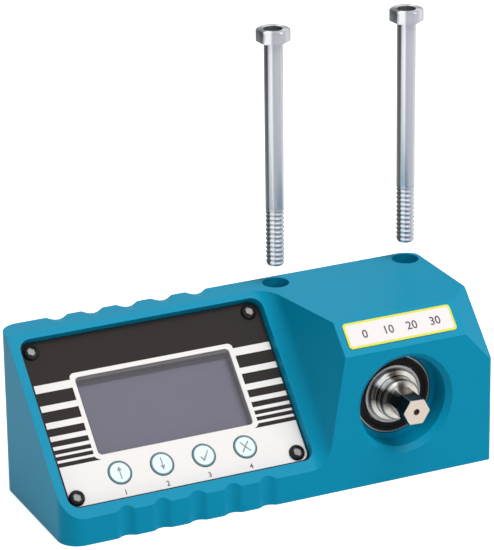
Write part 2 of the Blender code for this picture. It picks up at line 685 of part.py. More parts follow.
def socket_screw(name, sizes, underside, **where):
    """A cap screw with its head below a height and its shank above it, as it stands in the flange."""
    low = underside - sizes["head_height"]
    socket = sizes["head"] * SOCKET_RADIUS_SHARE
    socket_floor = low + sizes["head_height"] * SOCKET_DEPTH_SHARE
    profile = [(0, underside + sizes["length"]), (sizes["shank"], underside + sizes["length"]),
               (sizes["shank"], underside), (sizes["head"], underside), (sizes["head"], low),
               (socket, low), (socket, socket_floor), (0, socket_floor)]
    smooth(turned(name, profile, 12, **where))


def countersunk_screw(name, sizes, **where):
    """A countersunk screw that goes up from z = 0."""
    profile = [(0, sizes["length"]), (sizes["shank"], sizes["length"]),
               (sizes["shank"], sizes["head_height"]), (sizes["head"], GAP), (sizes["head"], GAP / 2),
               (0, GAP / 2)]
    smooth(turned(name, profile, 12, **where))


def make_panel_screws():
    """The four black screws that hold the panel down on its ledge."""
    for index, centre in enumerate(panel_screw_places(), start=1):
        dome_head_screw(f"panel_screw_{index}", PANEL_SCREW, -POCKET_DEPTH + GAP / 2,
                        location=(*centre, 0), parent=SLOPE_FRAME, finish=BLACK)


def make_label():
    """The thin label plate on the block's sloped face."""
    left_edge = BLOCK_FOOT + BLOCK_LEAN * BLOCK_RISE
    right_edge = RIGHT - FACET_WIDTH
    centre = (left_edge + right_edge) / 2
    height_at_front = FRONT_WALL_HEIGHT + BLOCK_RISE / math.cos(SLOPE_ANGLE)
    outline = rounded_rectangle(centre - LABEL_WIDTH / 2, centre + LABEL_WIDTH / 2, LABEL_FROM_EDGE,
                                LABEL_FROM_EDGE + LABEL_HEIGHT, LABEL_RADIUS, 4)
    mesh = plate_mesh("range_label", outline, GAP / 2, GAP / 2 + LABEL_THICKNESS)
    place("range_label", mesh, (0, FRONT, height_at_front), finish=LABEL_WHITE,
          rotation=(SLOPE_ANGLE, 0, 0))


def flange_screw_angles():
    """Angles of the four flange screws round the drive axis."""
    return [math.radians(45 + 90 * i) for i in range(4)]


def shaft_profile():
    """The shaft's turned outline, from the rear flange to the face that the hexagon stands on."""
    return [(0, FLANGE_BACK), (FLANGE_RADIUS, FLANGE_BACK), (FLANGE_RADIUS, FLANGE_FRONT),
            (SLEEVE_SEAT, FLANGE_FRONT), (SLEEVE_SEAT, FLANGE_FRONT - SHOULDER_WIDTH),
            (TORSION_RADIUS, FLANGE_FRONT - 2 * SHOULDER_WIDTH),
            (TORSION_RADIUS, JOURNAL_END + 2 * SHOULDER_WIDTH),
            (SLEEVE_SEAT, JOURNAL_END + SHOULDER_WIDTH), (SLEEVE_SEAT, JOURNAL_END),
            (JOURNAL_RADIUS, JOURNAL_END), (JOURNAL_RADIUS, RECESS_DEPTH - GAP),
            (COLLAR_RADIUS, RECESS_DEPTH - GAP), (COLLAR_RADIUS, RECESS_DEPTH - COLLAR_WIDTH),
            (NECK_RADIUS, RECESS_DEPTH - COLLAR_WIDTH), (NECK_RADIUS, HEX_FOOT + NECK_CHAMFER),
            (HEX_CORNER + NECK_STEP, HEX_FOOT), (0, HEX_FOOT)]


def hexagon_piece():
    """The hexagon with its corners turned off at the free end, as a piece to join to the shaft."""
    flat = HEX_ACROSS_FLATS / 2
    outside = HEX_CORNER + NECK_STEP
    hexagon = place("hexagon", prism_mesh("hexagon", 6, HEX_ACROSS_FLATS, -HEX_REACH, HEX_FOOT + GAP,
                                          HEX_TURN), parent=DRIVE_AXIS)
    nose = [(0, HEX_FOOT + NECK_CHAMFER), (outside, HEX_FOOT + NECK_CHAMFER),
            (outside, -HEX_REACH + HEX_CHAMFER + (outside - flat) / 2),
            (flat - HEX_CHAMFER, -HEX_REACH), (0, -HEX_REACH)]
    combine(hexagon, turned("hexagon_nose", nose, 24, parent=DRIVE_AXIS), "INTERSECT")
    return hexagon


def make_drive_shaft():
    """The hexagon drive, its neck and collar, the journal, the torsion bar and the rear flange."""
    shaft = turned("drive_shaft", shaft_profile(), 32, parent=DRIVE_AXIS, finish=STEEL)
    combine(shaft, hexagon_piece(), "UNION")
    combine(shaft, cylinder("centre_hole", CENTRE_HOLE_RADIUS, -HEX_REACH - OVERCUT,
                            CENTRE_HOLE_DEPTH - HEX_REACH, 16, parent=DRIVE_AXIS))
    for index, angle in enumerate(flange_screw_angles(), start=1):
        x, y = FLANGE_SCREW_CIRCLE * math.cos(angle), FLANGE_SCREW_CIRCLE * math.sin(angle)
        combine(shaft, cylinder(f"flange_hole_{index}", FLANGE_SCREW["shank"] + GAP,
                                FLANGE_FRONT - OVERCUT / 2, FLANGE_BACK + OVERCUT, 12,
                                parent=DRIVE_AXIS, location=(x, y, 0)))
        socket_screw(f"flange_screw_{index}", FLANGE_SCREW, FLANGE_FRONT - GAP, parent=DRIVE_AXIS,
                     location=(x, y, 0), finish=STEEL)
    tube("gauge_sleeve", SLEEVE_SEAT + GAP, SLEEVE_SEAT + GAP + SLEEVE_WALL, JOURNAL_END + GAP,
         FLANGE_FRONT - GAP, 24, parent=DRIVE_AXIS, finish=BRASS)


def ball_mesh(name):
    """One ball of the bearing."""
    editable = bmesh.new()
    bmesh.ops.create_uvsphere(editable, u_segments=8, v_segments=6, radius=BALL_RADIUS)
    mesh = bpy.data.meshes.new(name)
    editable.to_mesh(mesh)
    editable.free()
    return mesh


def track_arc(radius, side):
    """The ball track in a ring's wall of a radius: outside the balls (side = 1) or inside (side = -1)."""
    clearance = BALL_RADIUS + GAP
    half_angle = math.degrees(math.acos(side * (radius - BALL_CIRCLE) / clearance))
    middle = 90 - 90 * side
    return arc((BALL_CIRCLE, RECESS_DEPTH + BEARING_WIDTH / 2), clearance, middle - half_angle,
               middle + half_angle, 4)


def make_rings():
    """The bearing's two rings, each with a round track for the balls."""
    lip = BEARING_RADIUS - OUTER_RING_LIP
    wall = BEARING_RADIUS - OUTER_RING_WALL
    step = SEAL_THICKNESS + GAP
    outer = [(BEARING_RADIUS, BEARING_BACK), (BEARING_RADIUS, RECESS_DEPTH), (lip, RECESS_DEPTH),
             (lip, RECESS_DEPTH + step), (wall, RECESS_DEPTH + step)]
    outer += track_arc(wall, 1)
    outer += [(wall, BEARING_BACK - step), (lip, BEARING_BACK - step), (lip, BEARING_BACK)]
    bore = JOURNAL_RADIUS + GAP
    inner = [(INNER_RING_RADIUS, BEARING_BACK)] + track_arc(INNER_RING_RADIUS, -1)
    inner += [(INNER_RING_RADIUS, RECESS_DEPTH), (bore, RECESS_DEPTH), (bore, BEARING_BACK)]
    for name, profile in (("bearing_outer_ring", outer), ("bearing_inner_ring", inner)):
        turned(name, profile, 32, closed=True, parent=DRIVE_AXIS, finish=STEEL)


def make_bearing():
    """A sealed ball bearing in parts: its rings, the balls in their cage and the two seals."""
    make_rings()
    middle = RECESS_DEPTH + BEARING_WIDTH / 2
    cage = tube("bearing_cage", BALL_CIRCLE - CAGE_HALF_WALL, BALL_CIRCLE + CAGE_HALF_WALL,
                middle - CAGE_HALF_WIDTH, middle + CAGE_HALF_WIDTH, 27, parent=DRIVE_AXIS, finish=BRASS)
    for index in range(BALL_COUNT):
        angle = 2 * math.pi * index / BALL_COUNT
        ball = place(f"ball_{index}", ball_mesh(f"ball_{index}"),
                     (BALL_CIRCLE * math.cos(angle), BALL_CIRCLE * math.sin(angle), middle),
                     parent=DRIVE_AXIS)
        combine(cage, ball, "UNION")
    lip = BEARING_RADIUS - OUTER_RING_LIP
    for name, low in (("bearing_seal_front", RECESS_DEPTH),
                      ("bearing_seal_rear", BEARING_BACK - SEAL_THICKNESS)):
        tube(name, INNER_RING_RADIUS + GAP, lip - GAP, low, low + SEAL_THICKNESS, 32, parent=DRIVE_AXIS,
             finish=RUBBER)


def bolt_head(name, x):
    """A bolt's hexagon head with a chamfered rim and a dished top, as a piece to join to the bolt."""
    seat = BOLT_HEAD_SEAT
    top = seat + BOLT_HEAD_HEIGHT
    where = {"location": (x, BOLT_Y, 0)}
    head = place(name, prism_mesh(name, 6, BOLT_HEAD_FLATS, seat, top, BOLT_HEAD_TURN), **where)
    crown = [(0, top), (BOLT_HEAD_CORNER - BOLT_HEAD_CHAMFER, top),
             (BOLT_HEAD_CORNER, top - BOLT_HEAD_CHAMFER), (BOLT_HEAD_CORNER, seat - OVERCUT),
             (0, seat - OVERCUT)]
    combine(head, turned(f"{name}_crown", crown, 36, **where), "INTERSECT")
    combine(head, cylinder(f"{name}_dish", BOLT_HEAD_DISH_RADIUS, top - BOLT_HEAD_DISH_DEPTH,
                           top + OVERCUT, 24, **where))
    return head


def make_bolts():
    """The two hexagon-head mounting bolts, lifted above their holes."""
    tip = BOLT_HEAD_SEAT - BOLT_LENGTH
    overlap = BOLT_HEAD_SEAT + BOLT_HEAD_HEIGHT / 2
    for name, x in (("mounting_bolt_left", BOLT_LEFT_X), ("mounting_bolt_right", BOLT_RIGHT_X)):
        shank = [(0, overlap), (BOLT_RADIUS, overlap), (BOLT_RADIUS, tip + BOLT_TIP_CHAMFER),
                 (BOLT_RADIUS - BOLT_TIP_CHAMFER, tip), (0, tip)]
        bolt = turned(name, shank, 24, location=(x, BOLT_Y, 0), finish=ZINC)
        combine(bolt, bolt_head(f"{name}_head", x), "UNION")


def main_board_corners():
    """The main board's corners from above: left, right, front and back."""
    left = LEFT + SIDE_WALL + 2 * BASE_BOSS_RADIUS + POST_INSET
    back = BACK - FACE_WALL - POST_INSET
    return left, left + MAIN_BOARD_LENGTH, back - MAIN_BOARD_WIDTH, back


def make_base():
    """The base plate with its board posts, its screws and the main board."""
    mesh = plate_mesh("base_plate", base_outline(GAP), 0, BASE_THICKNESS)
    plate = place("base_plate", mesh, finish=ANODISED)
    leave_pillars(plate, "base_notch", GAP)
    left, right, front, back = main_board_corners()
    for index, x in enumerate((left + POST_INSET, right - POST_INSET)):
        for row, y in enumerate((front + POST_INSET, back - POST_INSET)):
            post = cylinder(f"base_post_{index}{row}", POST_RADIUS, BASE_THICKNESS / 2,
                            MAIN_BOARD_HEIGHT - GAP, 10, location=(x, y, 0))
            combine(plate, post, "UNION")
    for index, (x, y) in enumerate(base_screw_places(), start=1):
        sink = [(0, BASE_THICKNESS + OVERCUT), (BASE_SCREW["shank"] + GAP, BASE_THICKNESS + OVERCUT),
                (BASE_SCREW["shank"] + GAP, BASE_SCREW["head_height"] + GAP),
                (BASE_SCREW["head"] + GAP, GAP), (BASE_SCREW["head"] + GAP, -OVERCUT), (0, -OVERCUT)]
        combine(plate, turned(f"base_sink_{index}", sink, 12, location=(x, y, 0)))
        countersunk_screw(f"base_screw_{index}", BASE_SCREW, location=(x, y, 0), finish=ZINC)
    board = plate_mesh("main_board", rounded_rectangle(left, right, front, back, BOARD_CORNER_RADIUS, 3),
                       MAIN_BOARD_HEIGHT, MAIN_BOARD_HEIGHT + BOARD_THICKNESS)
    place("main_board", board, finish=BOARD)


def make_inlet():
    """The power inlet in the back wall: a square body inside, and a round nose in the wall's hole."""
    x = LEFT + INLET_FROM_LEFT
    wall_face = BACK - FACE_WALL
    half = INLET_BODY / 2
    body = box_mesh("power_inlet", (-half, wall_face - GAP - INLET_BODY_DEPTH, -half),
                    (half, wall_face - GAP, half))
    inlet = place("power_inlet", body, (x, 0, INLET_HEIGHT), finish=BLACK)
    turn = (-math.pi / 2, 0, 0)
    here = {"location": (x, BACK, INLET_HEIGHT), "rotation": turn}
    nose = cylinder("inlet_nose", INLET_NOSE_RADIUS, -FACE_WALL - 2 * GAP, -GAP, 20, **here)
    combine(inlet, nose, "UNION")
    bore_end = -FACE_WALL - INLET_BODY_DEPTH + INLET_BACK_WALL
    tube_cut = [(INLET_BORE_RADIUS, OVERCUT), (INLET_BORE_RADIUS, bore_end), (INLET_PIN_RADIUS, bore_end),
                (INLET_PIN_RADIUS, OVERCUT)]
    combine(inlet, turned("inlet_bore", tube_cut, 16, closed=True, **here))


for leftover in list(bpy.data.objects):
    bpy.data.objects.remove(leftover)

PARTS = collection("torque_tester")
CUTTERS = collection("cutters")

TEAL = material("teal_housing", (0.0, 0.235, 0.376), 0.45)
BLACK = material("black_parts", (0.02, 0.019, 0.018), 0.4)
PRINT = material("printed_overlay", (0.84, 0.82, 0.81), 0.45)
CLEAR = material("clear_window", (0.30, 0.30, 0.36), 0.15)
GREY_METAL = material("display_metal", (0.25, 0.25, 0.27), 0.4, 1.0)
GLASS = material("display_glass", (0.19, 0.18, 0.25), 0.2)
KEYCAP = material("pale_keys", (0.68, 0.85, 0.87), 0.45)
STEEL = material("polished_steel", (0.66, 0.64, 0.61), 0.2, 1.0)
ZINC = material("zinc_plating", (0.55, 0.56, 0.58), 0.35, 1.0)
BRASS = material("brass", (0.70, 0.52, 0.25), 0.35, 1.0)
RUBBER = material("black_rubber", (0.02, 0.02, 0.02), 0.7)
ANODISED = material("dark_base", (0.06, 0.06, 0.065), 0.5, 0.6)
BOARD = material("circuit_board", (0.02, 0.16, 0.07), 0.5)
LABEL_WHITE = material("label_white", (0.86, 0.83, 0.83), 0.4)

SLOPE_FRAME = guide("slope_frame", (0, FRONT, FRONT_WALL_HEIGHT), (SLOPE_ANGLE, 0, 0))
DRIVE_AXIS = guide("drive_axis", (DRIVE_X, FRONT, DRIVE_HEIGHT), (-math.pi / 2, 0, 0))

make_case()
make_panel()
make_display()
make_keys()
make_panel_screws()
make_label()
make_drive_shaft()
make_bearing()
make_bolts()
make_base()
make_inlet()
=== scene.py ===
"""Looks of the torque tester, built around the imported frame. Metres, +Z up."""
import json
import math

import bmesh
import bpy
from mathutils import Matrix, Vector


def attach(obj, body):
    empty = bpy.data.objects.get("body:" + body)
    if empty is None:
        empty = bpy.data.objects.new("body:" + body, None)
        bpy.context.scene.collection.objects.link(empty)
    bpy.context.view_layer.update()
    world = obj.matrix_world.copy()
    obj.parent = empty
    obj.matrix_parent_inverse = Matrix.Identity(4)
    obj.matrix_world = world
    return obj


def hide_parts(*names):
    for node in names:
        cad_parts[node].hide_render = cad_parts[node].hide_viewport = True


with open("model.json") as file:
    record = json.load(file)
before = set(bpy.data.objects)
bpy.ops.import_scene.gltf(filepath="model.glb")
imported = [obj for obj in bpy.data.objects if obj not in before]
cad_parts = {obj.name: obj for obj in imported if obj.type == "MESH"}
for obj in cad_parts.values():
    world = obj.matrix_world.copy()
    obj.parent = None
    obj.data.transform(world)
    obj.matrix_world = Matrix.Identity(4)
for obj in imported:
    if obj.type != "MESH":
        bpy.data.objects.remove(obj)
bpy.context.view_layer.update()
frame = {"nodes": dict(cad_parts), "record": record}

MM = 0.001

# Camera, fitted to the photograph
CAMERA_AZIMUTH = math.radians(24.762)
CAMERA_ELEVATION = math.radians(21.397)
CAMERA_ROLL = math.radians(-0.793)
CAMERA_AIM = Vector((0.00054, 0.0, 0.08998))
CAMERA_DISTANCE = 1.3455
CAMERA_LENS = 234.907

# Housing, in millimetres, as the CAD has it
LEFT, RIGHT, FRONT, BACK = -98.5, 98.5, -35.5, 35.5
HEIGHT, FRONT_WALL = 72.0, 12.0
SLOPE_RUN, SLOPE_RISE = 59.2, 60.0
SLOPE_ANGLE = math.atan2(SLOPE_RISE, SLOPE_RUN)
SLOPE_LENGTH = math.hypot(SLOPE_RUN, SLOPE_RISE)
CORNER, DRIVE_CORNER, TOP_EDGE = 9.0, 1.8, 1.8
SIDE_WALL, FACE_WALL = 3.0, 4.0
GROOVES = [LEFT + 27.2 + 15.95 * i for i in range(5)]
GROOVE_RADIUS, GROOVE_DEPTH, GROOVE_BLEND = 5.0, 1.55, 3.6
SCOOP_RADIUS, SCOOP_DEPTH, SCOOP_REACH = 10.0, 1.25, 9.6
BLOCK_FOOT, BLOCK_RISE, BLOCK_LEAN, BLOCK_FILLET = 20.5, 34.0, 0.24, 9.5
FACET_WIDTH, FACET_DROP = 13.0, 10.4
POCKET = (-94.5, 16.1, 5.1, 81.3)
POCKET_RADIUS, LEDGE, CEILING = 5.0, 6.0, 10.1
DRIVE_X, DRIVE_Z = 56.8, 34.3
RECESS_RADIUS, RECESS_CHAMFER, RECESS_DEPTH = 20.2, 2.3, 11.3
BEARING_SEAT, BEARING_BACK, BORE_RADIUS, BORE_END = 17.8, 21.6, 15.3, 61.0
BOLT_X, BOLT_Y, HOLE_RADIUS = (27.0, 89.8), 28.1, 5.9
BASE_SCREWS = [(-89.0, -26.0), (-89.0, 26.0), (89.0, -26.0), (56.8, 26.0)]
PILLAR_WALL, REBATE_LIP, REBATE_TOP = 3.6, 1.6, 2.8
SCREW_HOLE, BASE_HOLE, FLANGE_HOLE, INLET_HOLE = 2.1, 1.7, 2.2, 4.9
FLANGE_CIRCLE, INLET_X, INLET_Z = 11.3, 8.0, 15.5
EDGE_ROUND = 0.7

# Panel, in the slope's frame: x as in the world, y up the slope, z out of it
PANEL, PANEL_RADIUS = (-94.2, 15.8, 5.4, 81.0), 4.7
SHEET_BACK, SHEET_FACE, INK = -4.5, -4.0, 0.03
# Inner edge of a black line painted round the overlay, painted shade where the rim's edge meets it.
SHADE_LINE_INSIDE = (-92.3, 15.3, 6.85, 80.6, 3.6)
WINDOW = (-74.07, -3.6, 26.86, 62.3)
PRINT_FRAME = (-76.05, -1.57, 64.36)
BLACK_FOOT = 61.8
BARS = [(52.5, 58.2), (44.9, 49.7), (38.7, 42.1), (34.1, 36.5), (30.7, 32.5), (27.9, 29.6)]
LAST_BAR = (24.9, 26.7)
KEYS, KEY_HOLE = [(-67.64 + 18.96 * i, 17.7) for i in range(4)], 5.3
PANEL_SCREWS = [(-89.1, 10.5), (10.7, 10.5), (-89.1, 76.59), (10.7, 76.59)]

# Label, in a frame like the slope's that lies on the label face
LABEL_CENTRE, LABEL_SIZE, LABEL_BORDER = (57.08, 8.8), (50.6, 11.8), 1.0

SLOPE = Matrix.Translation((0, FRONT * MM, FRONT_WALL * MM)) @ Matrix.Rotation(SLOPE_ANGLE, 4, "X")
LABEL = Matrix.Translation((0, FRONT * MM, (FRONT_WALL + BLOCK_RISE / math.cos(SLOPE_ANGLE)) * MM)) \
    @ Matrix.Rotation(SLOPE_ANGLE, 4, "X")
DRIVE = Matrix.Translation((DRIVE_X * MM, FRONT * MM, DRIVE_Z * MM)) \
    @ Matrix.Rotation(-math.pi / 2, 4, "X")
HERE = Matrix.Identity(4)

WORLD_LIGHT = 0.40
FLOOR_GLOW = 0.75


def arc(centre, radius, start, end, steps):
    """Points on an arc, both ends included, with angles in degrees."""
    angles = [math.radians(start + (end - start) * i / steps) for i in range(steps + 1)]
    return [(centre[0] + radius * math.cos(a), centre[1] + radius * math.sin(a)) for a in angles]


def circle(centre, radius, steps=64):
    """A closed round outline."""
    return arc(centre, radius, 0, 360 - 360 / steps, steps - 1)


def rounded(left, right, bottom, top, radius):
    """A closed outline with four round corners, anticlockwise."""
    left, right, bottom, top = left + radius, right - radius, bottom + radius, top - radius
    points = []
    for corner, start in (((left, bottom), 180), ((right, bottom), 270), ((right, top), 0),
                          ((left, top), 90)):
        points += arc(corner, radius, start, start + 90, 10)
    return points


def placed(name, data, where=HERE):
    """A new object in the scene."""
    item = bpy.data.objects.new(name, data)
    bpy.context.scene.collection.objects.link(item)
    item.matrix_world = where
    return item


def evaluated_mesh(item):
    """The mesh that an object has once its modifiers or curve settings are applied."""
    graph = bpy.context.evaluated_depsgraph_get()
    graph.update()
    return bpy.data.meshes.new_from_object(item.evaluated_get(graph))


def curve_mesh(name, curve):
    """The mesh of a curve or text, which is then removed."""
    shape = placed(name, curve)
    mesh = evaluated_mesh(shape)
    bpy.data.objects.remove(shape)
    bpy.data.curves.remove(curve)
    return mesh


def plate(name, outline, bottom, top, holes=()):
    """A flat outline with holes, filled and extruded between two heights, all in millimetres."""
    curve = bpy.data.curves.new(name, "CURVE")
    curve.dimensions = "2D"
    curve.fill_mode = "BOTH"
    curve.extrude = (top - bottom) / 2 * MM
    for points in (outline, *holes):
        spline = curve.splines.new("POLY")
        spline.points.add(len(points) - 1)
        for point, (x, y) in zip(spline.points, points):
            point.co = (x * MM, y * MM, 0, 1)
        spline.use_cyclic_u = True
    mesh = curve_mesh(name, curve)
    surface = bmesh.new()
    surface.from_mesh(mesh)
    bmesh.ops.remove_doubles(surface, verts=surface.verts, dist=1e-6)
    bmesh.ops.translate(surface, verts=surface.verts, vec=(0, 0, (top + bottom) / 2 * MM))
    bmesh.ops.recalc_face_normals(surface, faces=surface.faces)
    surface.to_mesh(mesh)
    surface.free()
    mesh.name = name
    return mesh


def revolve(name, profile, steps=96, turn=0.0):
    """A closed profile of radius and height in millimetres, turned round the z axis."""
    surface = bmesh.new()
    rings = []
    for radius, height in profile:
        if radius < 1e-6:
            rings.append([surface.verts.new((0, 0, height * MM))])
            continue
        angles = [turn + 2 * math.pi * i / steps for i in range(steps)]
        rings.append([surface.verts.new((radius * math.cos(a) * MM, radius * math.sin(a) * MM, height * MM))
                      for a in angles])
    whole = len(rings[0]) > 1
    for low, high in zip(rings, rings[1:] + (rings[:1] if whole else [])):
        for i in range(steps):
            j = (i + 1) % steps
            corners = [low[i % len(low)], low[j % len(low)], high[j % len(high)], high[i % len(high)]]
            corners = list(dict.fromkeys(corners))
            if len(corners) > 2:
                surface.faces.new(corners)
    bmesh.ops.recalc_face_normals(surface, faces=surface.faces)
    mesh = bpy.data.meshes.new(name)
    surface.to_mesh(mesh)
    surface.free()
    return mesh


def prism(name, sides, across_flats, bottom, top, turn=0.0):
    """A regular prism, such as a hexagon, with a corner at the angle that it is turned to."""
    radius = across_flats / 2 / math.cos(math.pi / sides)
    return revolve(name, [(0, bottom), (radius, bottom), (radius, top), (0, top)], sides, turn)


def boolean(base, others, operation="DIFFERENCE"):
    """The mesh of one object cut, joined or trimmed with others. All of them are removed."""
    group = bpy.data.collections.new("operands")
    bpy.context.scene.collection.children.link(group)
    for other in others:
        bpy.context.scene.collection.objects.unlink(other)
        group.objects.link(other)
    step = base.modifiers.new("step", "BOOLEAN")
    step.operation = operation
    step.solver = "EXACT"
    if len(others) == 1:
        step.object = others[0]
    else:
        step.operand_type = "COLLECTION"
        step.collection = group
    mesh = evaluated_mesh(base)
    for item in [base, *others]:
        bpy.data.objects.remove(item)
    bpy.data.collections.remove(group)
    return mesh


def rounded_edges(mesh, width, segments=3):
    """The mesh with its flat faces merged and its sharp edges rounded."""
    surface = bmesh.new()
    surface.from_mesh(mesh)
    bmesh.ops.remove_doubles(surface, verts=surface.verts, dist=2e-6)
    bmesh.ops.dissolve_limit(surface, angle_limit=math.radians(0.5), verts=surface.verts,
                             edges=surface.edges)
    surface.to_mesh(mesh)
    surface.free()
    item = placed("rounding", mesh)
    bevel = item.modifiers.new("bevel", "BEVEL")
    bevel.width = width * MM
    bevel.segments = segments
    bevel.limit_method = "ANGLE"
    bevel.angle_limit = math.radians(28)
    bevel.use_clamp_overlap = True
    bevel.miter_outer = "MITER_ARC"
    made = evaluated_mesh(item)
    bpy.data.objects.remove(item)
    return made


def piece(name, mesh, body, finish, where=HERE, stands_for=(), angle=35):
    """A finished piece that rides on a CAD body, with smooth shading up to its sharp edges."""
    item = placed(name, mesh, where)
    mesh.materials.clear()
    mesh.materials.append(finish)
    mesh.shade_smooth()
    mesh.set_sharp_from_angle(angle=math.radians(angle))
    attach(item, body)
    if stands_for:
        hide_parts(*stands_for)
    return item


# Stage

def add_camera():
    """A camera without shift that looks at a point a little above the housing."""
    data = bpy.data.cameras.new("camera")
    data.sensor_fit = "HORIZONTAL"
    data.sensor_width = 36.0
    data.lens = CAMERA_LENS
    data.clip_start = 0.1
    data.clip_end = 20.0
    camera = placed("camera", data)
    bpy.context.scene.camera = camera
    azimuth, elevation = CAMERA_AZIMUTH, CAMERA_ELEVATION
    back = Vector((-math.sin(azimuth) * math.cos(elevation), -math.cos(azimuth) * math.cos(elevation),
                   math.sin(elevation)))
    right = Vector((math.cos(azimuth), -math.sin(azimuth), 0.0))
    up = back.cross(right)
    turn = Matrix((right, up, back)).transposed() @ Matrix.Rotation(CAMERA_ROLL, 3, "Z")
    camera.matrix_world = Matrix.Translation(CAMERA_AIM + back * CAMERA_DISTANCE) @ turn.to_4x4()


def aimed(item, location, target):
    """Put a lamp or card in place, facing a point."""
    item.location = location
    item.rotation_euler = (Vector(target) - Vector(location)).to_track_quat("-Z", "Y").to_euler()


def area_light(name, location, target, size, power):
    """A soft square lamp that faces a point."""
    data = bpy.data.lights.new(name, "AREA")
    data.shape = "SQUARE"
    data.size = size
    data.energy = power
    aimed(placed(name, data), location, target)


def flat_sheet(name, width, height):
    """An object of one flat face, and its material's empty node tree."""
    surface = bmesh.new()
    bmesh.ops.create_grid(surface, x_segments=1, y_segments=1, size=0.5)
    bmesh.ops.scale(surface, vec=(width, height, 1), verts=surface.verts)
    mesh = bpy.data.meshes.new(name)
    surface.to_mesh(mesh)
    surface.free()
    paint = bpy.data.materials.new(name)
    paint.use_nodes = True
    paint.node_tree.nodes.clear()
    mesh.materials.append(paint)
    return placed(name, mesh), paint.node_tree.nodes, paint.node_tree.links


def flag(name, location, target, width, height, shade):
    """A card that only reflections show, which gives polished metal something dark or grey to mirror."""
    card, nodes, links = flat_sheet(name, width, height)
    aimed(card, location, target)
    glow = nodes.new("ShaderNodeEmission")
    glow.inputs["Color"].default_value = (shade, shade, shade, 1)
    links.new(glow.outputs[0], nodes.new("ShaderNodeOutputMaterial").inputs["Surface"])
    card.visible_camera = False
    card.visible_diffuse = False
    card.visible_shadow = False
    card.visible_transmission = False


def seen_directly(nodes, links):
    """1 for rays from the camera, mirrored rays and rays through glass, and 0 for all others."""
    path = nodes.new("ShaderNodeLightPath")
    seen = path.outputs["Is Camera Ray"]
    for kind in ("Is Glossy Ray", "Is Transmission Ray"):
        either = nodes.new("ShaderNodeMath")
        either.operation = "MAXIMUM"
        links.new(seen, either.inputs[0])
        links.new(path.outputs[kind], either.inputs[1])
        seen = either.outputs[0]
    return seen


def add_world():
    """A pale surround that shows as white to the camera and in reflections."""
    world = bpy.data.worlds.new("surround")
    world.use_nodes = True
    bpy.context.scene.world = world
    nodes, links = world.node_tree.nodes, world.node_tree.links
    background = nodes["Background"]
    background.inputs["Color"].default_value = (1, 1, 1, 1)
    strength = nodes.new("ShaderNodeMapRange")
    strength.inputs["To Min"].default_value = WORLD_LIGHT
    strength.inputs["To Max"].default_value = 1.0
    links.new(seen_directly(nodes, links), strength.inputs["Value"])
    links.new(strength.outputs["Result"], background.inputs["Strength"])


def add_floor():
    """A white floor that still takes the object's shadow."""
    floor, nodes, links = flat_sheet("floor", 12.0, 12.0)
    floor.location.z = -0.0002
    both = nodes.new("ShaderNodeAddShader")
    diffuse = nodes.new("ShaderNodeBsdfDiffuse")
    diffuse.inputs["Color"].default_value = (0.7, 0.7, 0.7, 1)
    glow = nodes.new("ShaderNodeEmission")
    share = nodes.new("ShaderNodeMath")
    share.operation = "MULTIPLY"
    share.inputs[1].default_value = FLOOR_GLOW
    links.new(seen_directly(nodes, links), share.inputs[0])
    links.new(share.outputs[0], glow.inputs["Strength"])
    links.new(diffuse.outputs[0], both.inputs[0])
    links.new(glow.outputs[0], both.inputs[1])
    links.new(both.outputs[0], nodes.new("ShaderNodeOutputMaterial").inputs["Surface"])


def add_stage():
    """Camera, surround, floor, soft lamps and the cards for the metal."""
    add_camera()
    add_world()
    add_floor()
    area_light("overhead_lamp", (0.35, -0.62, 1.3), (0, 0, 0), 0.9, 15.6)
    area_light("left_lamp", (-1.5, 0.0, 0.8), (0, 0, 0.05), 0.9, 2.2)
    area_light("front_lamp", (0.8, -1.7, 0.7), (0, 0, 0.05), 0.9, 3)
    flag("left_card", (-0.34, 0.10, 0.10), (0.03, 0.028, 0.12), 0.42, 0.42, 0.03)
    flag("back_right_card", (0.40, 0.30, 0.10), (0.06, 0.028, 0.12), 0.30, 0.42, 0.10)


# Materials

